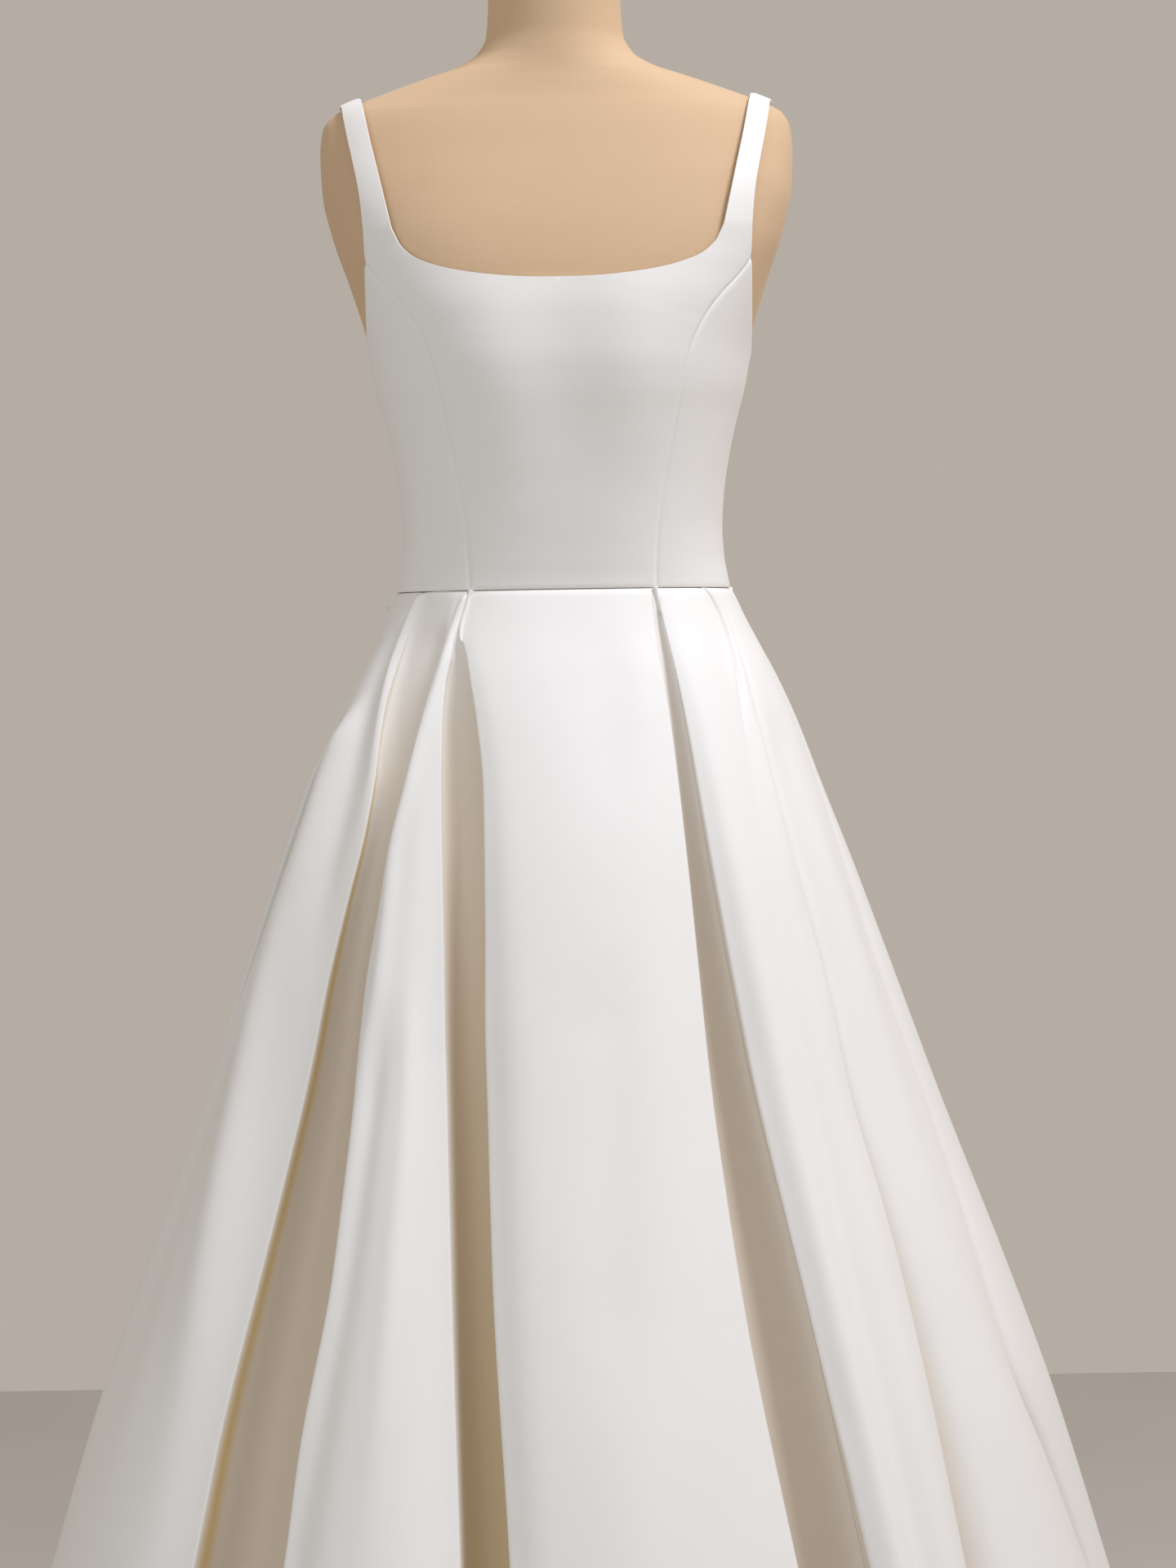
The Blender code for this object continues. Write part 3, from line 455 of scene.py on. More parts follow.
def rolled(points, roll, down):
    """Rounds every edge by its own roll, as cloth of this weight does, level by level."""
    result = points.copy()
    spreads = mixed(ROLL_AT_WAIST, roll[:, :-1], down[:, None] ** ROLL_POWER)
    for row, (line, spread) in enumerate(zip(points, spreads)):
        gaps = np.linalg.norm(np.diff(line[:-1], axis=0, append=line[:1]), axis=1)
        at = np.concatenate([[0.0], np.cumsum(gaps)[:-1]])
        apart = np.abs(at[:, None] - at[None, :])
        apart = np.minimum(apart, gaps.sum() - apart)
        weight = bell(apart / spread[:, None]) * ((gaps + np.roll(gaps, 1)) / 2.0)[None, :]
        weight /= weight.sum(axis=1, keepdims=True)
        result[row, :-1, :2] = weight @ line[:-1, :2]
        result[row, -1] = result[row, 0]
    return result


def normals_of(points):
    """Outward normals of a grid whose rows go up and columns go to +X at the front."""
    normal = np.cross(np.gradient(points, axis=1), np.gradient(points, axis=0))
    return normal / np.maximum(np.linalg.norm(normal, axis=-1, keepdims=True), 1e-12)


MEET = 0.00001  # points closer than this are one
ring, fold, roll, seams, heights, down = lay_ring()
ring = rolled(ring, roll, down)
print("ring of the skirt: %d rows of %d columns" % ring.shape[:2])

# %% [markdown]
# ## Cloth with a wall
#
# A piece of cloth is a grid of faces first. It carries a UV map in metres along its own
# weave, so that the weave keeps its scale in every fold, and two soft numbers of painted
# light: how much painted shade each point gets deep in a fold, and how much painted golden
# glow. Solidify gives it its wall and Bevel rounds the cut edge, because a folded edge of
# satin is never sharp.

# %% One helper for every piece of cloth
collection = bpy.data.collections.new("dress")
bpy.context.scene.collection.children.link(collection)
SEAM_REACH = 0.0030  # how close to a seam the cloth begins to turn in
SEAM_ROLL = 0.0011  # how far it turns in at a seam of the bodice
GORE_ROLL = 0.0001
WAIST_ROLL = 0.0004  # the bodice stands a little proud of the skirt at their seam
SKIRT_TOP_ROLL = 0.0012
EDGE_BEVEL = 0.0004
ALL_SEAM = 9.0  # a height over all seams
satin_pieces = {}


def keep(name, mesh):
    piece = bpy.data.objects.new(name, mesh)
    collection.objects.link(piece)
    return piece


def made_plain(piece):
    """Turns a piece and its modifiers into a plain mesh."""
    graph = bpy.context.evaluated_depsgraph_get()
    mesh = bpy.data.meshes.new_from_object(piece.evaluated_get(graph))
    piece.modifiers.clear()
    old, piece.data = piece.data, mesh
    bpy.data.meshes.remove(old)
    mesh.name = piece.name
    return piece


def lengths_along(points, axis):
    """Distances from the first row or column, along the other."""
    gaps = np.linalg.norm(np.diff(points, axis=axis), axis=-1)
    return np.insert(np.cumsum(gaps, axis=axis), 0, 0.0, axis=axis)


def weave_map(points):
    """Distances in metres along the cloth, from its middle column and its lowest row."""
    middle = points.shape[1] // 2
    along = lengths_along(points, 1)
    high = lengths_along(points[:, middle], 0)
    across = along - along[:, middle, None]
    return np.stack([across, np.broadcast_to(high[:, None], along.shape)], axis=-1)


def area_of(points, parting=None):
    """Area of a grid, without the column that is left open at a parting."""
    one = points[1:, 1:] - points[:-1, :-1]
    other = points[1:, :-1] - points[:-1, 1:]
    areas = np.linalg.norm(np.cross(one, other), axis=-1) / 2.0
    return float((areas if parting is None else np.delete(areas, parting, axis=1)).sum())


def turned_in(points, sides, seam_top=ALL_SEAM, roll=SEAM_ROLL):
    """Rolls the sides named in at a seam: L, R, T and B are left, right, top, bottom.

    The left and right sides are seams only up to seam_top, and open edges above it."""
    away = np.ones(points.shape[:2])
    for side in sides:
        axis = 1 if side in "LR" else 0
        at = lengths_along(points, axis)
        if side in "RT":
            at = np.take(at, [-1], axis=axis) - at
        near = np.clip(at / SEAM_REACH, 0.0, 1.0)
        if axis == 1:
            edge = points[:, [0 if side == "L" else -1], 2]
            near = near + np.clip((edge - seam_top) / SEAM_REACH + 1.0, 0.0, 1.0)
        away = np.minimum(away, near)
    return points - normals_of(points) * (roll * (1.0 - away) ** 2)[..., None]


def cloth_piece(name, points, painted_shade_and_glow, wall_side, parting=None):
    """A closed wall of cloth on a grid of points, kept by its name.

    A piece whose halves part has a column of no width there: it closes where the halves
    meet and is left open where they don't, as between two straps."""
    rows, columns = points.shape[:2]
    mesh = bpy.data.meshes.new(name)
    index = np.arange(rows * columns).reshape(rows, columns)
    corners = np.stack([index[:-1, :-1], index[:-1, 1:], index[1:, 1:], index[1:, :-1]], axis=-1)
    if parting is not None:
        corners = np.delete(corners, parting, axis=1)
    mesh.from_pydata(points.reshape(-1, 3).tolist(), [], corners.reshape(-1, 4).tolist())
    corner_at = np.empty(len(mesh.loops), int)
    mesh.loops.foreach_get("vertex_index", corner_at)
    weave = weave_map(points).reshape(-1, 2)[corner_at]
    mesh.uv_layers.new(name="weave").data.foreach_set("uv", weave.ravel())
    # Painted shade and painted glow shares, kept as point attributes for the satin's colour.
    painted_shade_and_glow = np.broadcast_to(painted_shade_and_glow, (rows, columns, 2)).astype(float)
    for layer, key in enumerate(("fold_depth", "fold_glow")):
        values = mesh.attributes.new(key, "FLOAT", "POINT").data
        values.foreach_set("value", painted_shade_and_glow[..., layer].ravel())
    if parting is not None:
        halves = bmesh.new()
        halves.from_mesh(mesh)
        bmesh.ops.remove_doubles(halves, verts=halves.verts[:], dist=MEET)
        halves.to_mesh(mesh)
        halves.free()
    piece = keep(name, mesh)
    wall = piece.modifiers.new("wall", "SOLIDIFY")
    wall.thickness = CLOTH
    wall.offset = wall_side
    edge = piece.modifiers.new("rounded edge", "BEVEL")
    edge.width = EDGE_BEVEL
    edge.segments = 2
    edge.limit_method = "ANGLE"
    edge.angle_limit = math.radians(60)
    made_plain(piece)
    piece.data.shade_smooth()
    triangles = sum(len(face.vertices) - 2 for face in piece.data.polygons)
    print("%-26s %6d triangles, %.3f m2 of cloth" % (name, triangles, area_of(points, parting)))
    satin_pieces[name] = piece


# %% Cut the ring into gores
SEWN_GAP = 0.00015  # half the gap between two gores in a valley
SEAM_SHARES = np.array([0.0, 0.12, 0.30, 0.60])[:, None]  # close columns beside a seam


def gore_points(gore):
    """A gore's part of the ring, parted from its neighbours, with close columns at its seams."""
    part = np.s_[:, seams[gore.first] : seams[gore.last] + 1]
    points, share = ring[part].copy(), fold[part]
    for column, neighbour in ((0, 1), (-1, -2)):
        way = points[:, neighbour] - points[:, column]
        way /= np.linalg.norm(way, axis=-1, keepdims=True)
        points[:, column] += way * SEWN_GAP
    left = mixed(points[:, :1], points[:, 1:2], SEAM_SHARES)
    right = mixed(points[:, -1:], points[:, -2:-1], SEAM_SHARES[::-1])
    times = np.ones(share.shape[1], int)
    times[[0, -1]] = len(SEAM_SHARES)
    return np.concatenate([left, points[:, 1:-1], right], axis=1), np.repeat(share, times, axis=1)


for gore in GORES:
    points, share = gore_points(gore)
    points = turned_in(turned_in(points, "LR", roll=GORE_ROLL), "T", roll=SKIRT_TOP_ROLL)
    cloth_piece(gore.name, points, share, -1.0)
    widths = lengths_along(points, 1)[:, -1]
    print("   hem %.3f m, waist %.3f m" % (widths[0], widths[-1]))

# %% [markdown]
# ## The bodice
#
# Seven pieces fit closely over the form: a centre front with both straps in one with it,
# two side fronts, two side backs and two backs, each with its strap. Their outlines are
# short tables, and smooth curves run through them. The cloth between the outlines lies
# on the form, a little off it. The straps go over the shoulder by angle about a pivot,
# because heights fail where the shoulder turns level.

# %% Outlines of the bodice pieces
SHOULDER_PIVOT = 1.300
STRAP_REACH = 0.11  # from the pivot to a strap at its top
UNDERARM = 1.205
ARMHOLE_POWER = 1.8
# A row of a panel is x and z of its inner edge, then of its outer edge.
PANEL_ROWS = np.array([
    (0.0, WAIST_SEAM, 0.0725, WAIST_SEAM), (0.0, 1.0480, 0.0730, 1.0450),
    (0.0, 1.0780, 0.0750, 1.0710), (0.0, 1.1090, 0.0790, 1.0985),
    (0.0, 1.1400, 0.0840, 1.1270), (0.0, 1.1700, 0.0885, 1.1530),
    (0.0, 1.2000, 0.0930, 1.1780), (0.0, 1.2300, 0.0985, 1.2010),
    (0.0, 1.2600, 0.1055, 1.2190), (0.0420, 1.2610, 0.1140, 1.2335),
    (0.0780, 1.2665, 0.1250, 1.2475), (0.1010, 1.2735, 0.1380, 1.2610),
    (0.1165, 1.2815, 0.1505, 1.2760), (0.1250, 1.2915, 0.1508, 1.2880),
])
INNER, OUTER = PANEL_ROWS[:, :2], PANEL_ROWS[:, 2:]
CORNER = 8  # the row where the inner edge turns from the centre line into the neckline
SEAM_END = 12  # the row where the princess seam ends at the armhole
# A row of a strap is its tilt about the pivot, x of its inner and outer edge, its lift.
STRAP_ROWS = np.array([
    (0.0, 0.1290, 0.1512, 0.0048), (20.0, 0.1360, 0.1540, 0.0060), (39.0, 0.1425, 0.1588, 0.0060),
    (57.0, 0.1490, 0.1645, 0.0054), (69.0, 0.1530, 0.1682, 0.0042), (79.0, 0.1562, 0.1708, 0.0034),
    (90.0, 0.1590, 0.1735, 0.0030),
])
PANEL_LIFT_TOP = 0.0022  # the last row below the strap is already a little off the form
print("outline rows:", len(PANEL_ROWS), "and", len(STRAP_ROWS), "of a strap")


# %% Smooth outlines and places on the form
def through(points, at):
    """A smooth curve through the points, at row numbers with fractions."""
    chord = np.maximum(np.linalg.norm(np.diff(points, axis=0), axis=1), 1e-9)[:, None]
    slopes = np.diff(points, axis=0) / chord
    inner = (slopes[:-1] * chord[1:] + slopes[1:] * chord[:-1]) / (chord[:-1] + chord[1:])
    tangents = np.vstack([slopes[:1], inner, slopes[-1:]])
    k = np.clip(at.astype(int), 0, len(points) - 2)
    return cubic((at - k)[:, None], chord[k], points[k], points[k + 1], tangents[k], tangents[k + 1])


def angle_at(sizes, x):
    """The angle at which the front half of a section, with its ease, reaches x."""
    share = np.clip(x / (sizes[..., 0] + EASE), 0.0, 1.0)
    return np.arcsin(share ** (sizes[..., 3] / 2.0))


def on_form(angle, z, lift, facing):
    """Points over the form at angles and heights, lifted off it straight forward or back."""
    flat = ring_xy(sections_at(TORSO, z), angle if facing > 0 else math.pi - angle, EASE)
    flat[..., 1] -= facing * (lift - EASE)
    return at_height(flat, z)


def over_shoulder(x, tilt, lift, facing):
    """The point over the form at x, at a tilt up from the horizontal about the pivot."""
    out, up = -facing * np.cos(np.radians(tilt)), np.sin(np.radians(tilt))
    near, far = np.full(x.shape, 0.01), np.full(x.shape, 0.20)
    for _ in range(30):
        middle = (near + far) / 2.0
        y, z = out * middle, SHOULDER_PIVOT + up * middle
        sizes = sections_at(TORSO, z)
        depth = np.where(y < 0.0, sizes[..., 1], sizes[..., 2])
        inside = np.abs(x / sizes[..., 0]) ** sizes[..., 3] + np.abs(y / depth) ** sizes[..., 3] < 1.0
        near, far = np.where(inside, middle, near), np.where(inside, far, middle)
    reach = far + lift
    return np.stack([x, out * reach, SHOULDER_PIVOT + up * reach], axis=-1)


def finer(points, step):
    """Row numbers with fractions, about a step apart along the points."""
    numbers = []
    for k, gap in enumerate(np.linalg.norm(np.diff(points, axis=0), axis=1)):
        count = max(2, math.ceil(gap / step))
        numbers += [k + part / count for part in range(count)]
    return np.array(numbers + [len(points) - 1.0])


def clustered(count, width, edge_steps=(0.0, 0.0008, 0.0018, 0.0030, 0.0046)):
    """Shares from 0 to 1 with extra columns close to both edges."""
    edge = np.array(edge_steps) / width
    inner = np.linspace(edge[-1], 1.0 - edge[-1], count)
    return np.concatenate([edge[:-1], inner, (1.0 - edge[:-1])[::-1]])


# %% Half of a centre panel with its strap
BODICE_STEP = 0.0040
STRAP_STARTS = (1.266, 1.276)  # heights of the neckline between which it turns up
PANEL_SHARES = clustered(26, 0.09)
WAIST_ROWS = (0.0, 0.10, 0.25, 0.45, 0.70)  # close rows at the waist, for the seam's roll
TILT_STEP = 2.0
STRAP_END_STEPS = (0.0026, 0.0016, 0.0008)  # from the shoulder seam
SETTLE = 0.0060


def half_panel(facing, centre_x):
    """Rows of points of half a centre panel, on the +X side, from the waist up."""
    at = finer(OUTER, BODICE_STEP)
    at = np.unique(np.round(np.concatenate([WAIST_ROWS, at[at > 0.9 * at[1]]]), 6))
    neckline = np.vstack([INNER[CORNER:], (STRAP_ROWS[0, 1], SHOULDER_PIVOT)])
    neckline = np.vstack([neckline[1] * (-1.0, 1.0), neckline])
    armhole = np.vstack([OUTER[SEAM_END:], (STRAP_ROWS[0, 2], SHOULDER_PIVOT)])
    centre_line = through(INNER[: CORNER + 1], at[at <= CORNER])
    inner = np.concatenate([centre_line, through(neckline, at[at > CORNER] - CORNER + 1)])
    inner[:, 0] = np.maximum(inner[:, 0], centre_x)
    seam = through(OUTER[: SEAM_END + 1], at[at <= SEAM_END])
    outer = np.concatenate([seam, through(armhole, at[at > SEAM_END] - SEAM_END)])
    lift = np.interp(at, [0, len(OUTER) - 3, len(OUTER) - 1], [EASE, EASE, PANEL_LIFT_TOP])
    x, z = (mixed(inner[:, k, None], outer[:, k, None], PANEL_SHARES) for k in (0, 1))
    panel = on_form(angle_at(sections_at(TORSO, z), x), z, lift[:, None], facing)
    return np.concatenate([panel, strap(facing)])


def strap(facing):
    """Rows of a strap up to the shoulder seam; the back strap crosses the top."""
    ends = STRAP_ROWS[:-1]
    if facing < 0:
        past_top = 180.0 - ends[-1, 0] - math.degrees(SEAM_GAP / STRAP_REACH)
        ends = np.vstack([STRAP_ROWS, [past_top, *ends[-1, 1:]]])
    last = ends[-1, 0]
    close = last - np.degrees(np.array(STRAP_END_STEPS) / STRAP_REACH)
    tilts = np.sort(np.concatenate([np.linspace(0.0, last, int(last / TILT_STEP)), close]))
    inner_x, outer_x, lift = smooth(ends[:, 0], ends[:, 1:], tilts).T[..., None]
    return over_shoulder(mixed(inner_x, outer_x, PANEL_SHARES), tilts[:, None], lift, facing)


def settled(points):
    """Evens a panel from row to row at its top, so that its strap leaves it without a kink."""
    at = lengths_along(points[:, points.shape[1] // 2], 0)
    free = np.minimum(at, at[-1] - at)[:, None]
    width = np.minimum(SETTLE, np.maximum(free / 3.0, MEET))
    weight = bell((at[:, None] - at[None, :]) / width) * np.gradient(at)[None, :]
    weight /= weight.sum(axis=1, keepdims=True)
    evened = np.einsum("ij,jkl->ikl", weight, points)
    low, high = STRAP_STARTS
    return mixed(points, evened, np.clip((points[:, :1, 2:] - low) / (high - low), 0.0, 1.0))


# %% [markdown]
# Satin on a form is tight but not dead flat. It bridges the hollow between the busts and
# the dip under them, and the seams draw it in by a hair. A few soft swells, again given
# as a height, a place and a size, keep the panels from looking cast.

# %% Soft swells on the bodice
Swell = namedtuple("Swell", "facing x z wide tall relief")
SWELLS = [
    Swell(1, 0.085, 1.205, 0.036, 0.046, 0.0030),
    Swell(1, 0.052, 1.195, 0.024, 0.052, 0.0038),
    Swell(1, 0.000, 1.165, 0.030, 0.070, -0.0014),
    Swell(1, 0.000, 1.075, 0.050, 0.030, 0.0012),
    Swell(-1, 0.055, 1.190, 0.040, 0.060, 0.0016),
    Swell(-1, 0.000, 1.090, 0.030, 0.050, -0.0008),
]
SWELLS += [swell._replace(x=-swell.x) for swell in SWELLS if swell.x]
WAIST_CALM = 0.02  # a swell has its full size this far over the waist
DEEPEST = 0.6 * EASE  # no dip goes deeper, or it would meet the form
DIP, DIP_Z, DIP_TALL = 0.0009, 1.12, 0.035  # of the side panels, under the bust


def swelled(points, facing):
    relief = np.zeros(points.shape[:2])
    for swell in SWELLS:
        if swell.facing == facing:
            x, z = (points[..., 0] - swell.x) / swell.wide, (points[..., 2] - swell.z) / swell.tall
            relief += swell.relief * bell(x) * bell(z)
    calm = np.clip((points[..., 2] - WAIST_SEAM) / WAIST_CALM, 0.0, 1.0)
    outward = normals_of(points)
    outward *= np.sign((outward[..., :2] * points[..., :2]).sum(axis=-1, keepdims=True))
    return points + outward * np.maximum(relief * calm, -DEEPEST)[..., None]


def facing_out(points, facing):
    """Back panels run the other way round, so their columns are turned about."""
    return points if facing > 0 else points[:, ::-1]


def side_panel(facing):
    """Rows of points from the princess seam round to the side seam, on the +X side."""
    seam = OUTER[: SEAM_END + 1]
    at = np.unique(np.concatenate([[0.04, 0.10, 0.20], finer(seam, BODICE_STEP)]))
    edge = through(seam, at)
    low = mixed(WAIST_SEAM, UNDERARM, at / SEAM_END)[:, None]
    sizes = sections_at(TORSO, edge[:, 1])
    first = angle_at(sizes, edge[:, 0] + SEAM_GAP)[:, None]
    last = (math.pi / 2.0 - SEAM_GAP / 2.0 / sizes[:, 0])[:, None]
    shares = clustered(22, 0.085)[None, :]
    z = mixed(low, edge[:, 1:], (1.0 - shares) ** ARMHOLE_POWER)
    points = on_form(mixed(first, last, shares), z, EASE, facing)
    across = np.linspace(0.0, 1.0, points.shape[1])[None, :]
    dip = DIP * bell((z - DIP_Z) / DIP_TALL) * np.sin(math.pi * across) ** 2
    return points + facing * normals_of(points) * dip[..., None]


def other_hand(points):
    return (points * (-1.0, 1.0, 1.0))[:, ::-1]


# %% Lay the bodice pieces on the form
SEAM_TOP = OUTER[SEAM_END, 1]
Cut = namedtuple("Cut", "name node flat area")
BODICE_CUTS = {
    "front": Cut("centre_front_panel", "front_panel", (0.34, 0.53), 0.055),
    "side_front": Cut("side_front_panel", "side_front", (0.136, 0.28), 0.025),
    "side_back": Cut("side_back_panel", "side_back", (0.127, 0.28), 0.023),
    "back": Cut("back_panel", "back_panel", (0.117, 0.575), 0.028),
}
half_front = swelled(settled(half_panel(1, 0.0)), 1)
front = np.concatenate([other_hand(half_front), half_front], axis=1)
front = turned_in(turned_in(front, "LRT", SEAM_TOP), "B", roll=WAIST_ROLL)
cloth_piece("centre_front_panel", front, 0.0, 1.0, parting=half_front.shape[1] - 1)
bodice_right = {"front": front}
for key, facing in (("side_front", 1), ("side_back", -1)):
    points = facing_out(swelled(side_panel(facing), facing), facing)
    bodice_right[key] = turned_in(turned_in(points, "LR"), "B", roll=WAIST_ROLL)
back = facing_out(swelled(settled(half_panel(-1, SEAM_GAP / 2.0)), -1), -1)
back = turned_in(turned_in(back, "LT", SEAM_TOP), "R")
bodice_right["back"] = turned_in(back, "B", roll=WAIST_ROLL)
SIDES_AND_BACK = ("side_front", "side_back", "back")
for key in SIDES_AND_BACK:
    for hand, points in (("right", bodice_right[key]), ("left", other_hand(bodice_right[key]))):
        cloth_piece(f"{BODICE_CUTS[key].name}_{hand}", points, 0.0, 1.0)

# %% [markdown]
# ## The form under the dress
#
# The form is a smooth torso under a fitted cover of tan linen: no arms, no legs, and a
# flat-topped neck. It is a loft, ring upon ring, through the sections of its table, with
# many more rings where the shoulder turns level. Its rims are rounded, as the cover is
# drawn over them.

# %% The linen-covered torso
FORM_SIDES = 160
FORM_STEP = 0.005
RIM = 0.004
RIM_STEPS = 4
CAP_INSET = 0.02  # a ring that keeps the flat caps flat


def form_rings():
    heights = []
    for low, high in zip(TORSO[:-1], TORSO[1:]):
        count = max(2, math.ceil(np.linalg.norm((high - low)[:4]) / FORM_STEP))
        heights += [mixed(low[0], high[0], part / count) for part in range(count)]
    heights = np.array(heights + [TORSO[-1, 0]])
    sizes = sections_at(TORSO, heights)
    turns = np.linspace(0.0, math.tau, FORM_SIDES, endpoint=False)

    def level(height, size, inset=0.0):
        return at_height(ring_xy(size[None, :], turns, -inset), height)

    def rim(end, inwards):
        """Rings from the cap outwards round the rim."""
        bend = np.linspace(math.pi / 2.0, 0.0, RIM_STEPS + 1)
        rings = [
            level(heights[end] + inwards * RIM * (1 - math.sin(b)), sizes[end], RIM * (1 - math.cos(b)))
            for b in bend
        ]
        return [level(rings[0][0, 2], sizes[end], CAP_INSET)] + rings

    inside = (heights > heights[0] + RIM) & (heights < heights[-1] - RIM)
    body = [level(height, size) for height, size in zip(heights[inside], sizes[inside])]
    return rim(0, 1) + body + rim(-1, -1)[::-1]


def loft(name, rings):
    """A closed skin over rings of points, with a fan at each end."""
    mesh = bpy.data.meshes.new(name)
    points = np.concatenate(rings + [[rings[0].mean(axis=0), rings[-1].mean(axis=0)]])
    foot, head = len(points) - 2, len(points) - 1
    at = np.arange(foot).reshape(len(rings), -1)
    after = np.roll(at, -1, axis=1)
    faces = np.stack([at[:-1], after[:-1], after[1:], at[1:]], axis=-1).reshape(-1, 4).tolist()
    ends = (at[0], after[0], at[-1], after[-1])
    for low, low_after, high, high_after in zip(*(end.tolist() for end in ends)):
        faces += [(foot, low_after, low), (head, high, high_after)]
    mesh.from_pydata(points.tolist(), [], faces)
    mesh.shade_smooth()
    return keep(name, mesh)


form = loft("form_cover", form_rings())
print("form cover:", len(form.data.polygons), "faces")

# %% [markdown]
# ## Stitches
#
# Every seam is a row of short stitches of the same thread, so a small Geometry Nodes
# tree lays them: it takes a line of points along a seam, spaces them by the stitch, and
# sets one little grain of thread on each, turned along the line. The thread lies in the
# roll of the seam, where it catches the light as a fine broken line. The hem is held by
# blind stitches, further apart.


# %% The tree that sews
def node(tree, kind, place=(0, 0), settings=(), **inputs):
    """Adds a node, gives it its settings, and sets or links its inputs by name."""
    made = tree.nodes.new(kind)
    made.location = (place[0] * 200, place[1] * 200)
    for key, value in dict(settings).items():
        setattr(made, key, value)
    for key, value in inputs.items():
        key = int(key[1:]) if key[0] == "_" and key[1:].isdigit() else key.replace("_", " ")
        socket = made.inputs[key]
        if isinstance(value, bpy.types.NodeSocket):
            tree.links.new(value, socket)
        else:
            socket.default_value = value
    return made


def sewing_tree():
    tree = bpy.data.node_groups.new("row_of_stitches", "GeometryNodeTree")
    for name, kind in (("Seam", "Geometry"), ("Stitch pitch", "Float"), ("Stitch length", "Float"),
                       ("Thread radius", "Float"), ("Thread", "Material")):
        tree.interface.new_socket(name, in_out="INPUT", socket_type="NodeSocket" + kind)
    tree.interface.new_socket("Stitches", in_out="OUTPUT", socket_type="NodeSocketGeometry")
    add = partial(node, tree)
    given = add("NodeGroupInput").outputs
    line = add("GeometryNodeMeshToCurve", (1, 0), Mesh=given["Seam"])
    places = add("GeometryNodeCurveToPoints", (2, 0), {"mode": "LENGTH"}, Curve=line.outputs[0],
                 Length=given["Stitch pitch"])
    grain = add("GeometryNodeMeshUVSphere", (1, -2), Segments=5, Rings=3, Radius=1.0)
    half = add("ShaderNodeMath", (2, -3), {"operation": "MULTIPLY"}, _0=given["Stitch length"], _1=0.5)
    size = add("ShaderNodeCombineXYZ", (3, -3), X=given["Thread radius"], Y=given["Thread radius"],
               Z=half.outputs[0])
    turn = add("FunctionNodeAlignRotationToVector", (3, -1), {"axis": "Z"},
               Vector=places.outputs["Tangent"])
    laid = add("GeometryNodeInstanceOnPoints", (4, 0), Points=places.outputs["Points"],
               Instance=grain.outputs["Mesh"], Rotation=turn.outputs[0], Scale=size.outputs[0])
    real = add("GeometryNodeRealizeInstances", (5, 0), Geometry=laid.outputs[0])
    even = add("GeometryNodeSetShadeSmooth", (6, 0), Geometry=real.outputs[0])
    threaded = add("GeometryNodeSetMaterial", (7, 0), Geometry=even.outputs[0], Material=given["Thread"])
    add("NodeGroupOutput", (8, 0), Stitches=threaded.outputs[0])
    return tree


SEWING = sewing_tree()
sewing_inputs = [item for item in SEWING.interface.items_tree if item.in_out == "INPUT"]
print("inputs of the sewing tree:", [item.name for item in sewing_inputs])


# %% [markdown]
# ## Finishes
#
# The dress is a heavy silk satin with a fine diagonal twill. Its floats lie close and
# flat, so it scatters light evenly and adds a soft, wide lustre, with no sharp highlight.
# It is ivory and not white: where light bounces from wall to wall in a deep fold, each
# bounce takes out a little blue, and the fold turns to beige and then to gold. Here that
# beige and gold are painted into the colour: painted shade by how deep a point lies in its
# fold, and a painted golden glow along a strip in some folds.

# %% Colours and finishes
WAVE_PERIOD = math.tau / 20.0  # the width of one band of a Wave Texture at scale 1
TWILL_PITCH = 0.0019  # real twill lines are 0.4 mm apart, too fine to show here
TWILL_LEAN = 63.0  # degrees, the steep lean of a fine twill
LINEN_PITCH = 0.0016  # real threads are 0.7 mm apart; drawn wider so that they show
# The last two colours are painted light: painted shade in deep folds and a painted golden glow.
IVORY, IVORY_DEEP, PAINTED_FOLD_SHADE, PAINTED_FOLD_GLOW = "#F3F2F0", "#F1EFEB", "#DFCDB4", "#D9BD78"


def colour(hex_value):
    """A colour written as sRGB hex, as linear red, green, blue and alpha."""
    parts = [int(hex_value[k : k + 2], 16) / 255.0 for k in (1, 3, 5)]
    return tuple(p / 12.92 if p <= 0.04045 else ((p + 0.055) / 1.055) ** 2.4 for p in parts) + (1.0,)


def finish(name):
    """An empty node material, and the helper that adds nodes to it."""
    material = bpy.data.materials.new(name)
    material.use_nodes = True
    material.node_tree.nodes.clear()
    return material, partial(node, material.node_tree)


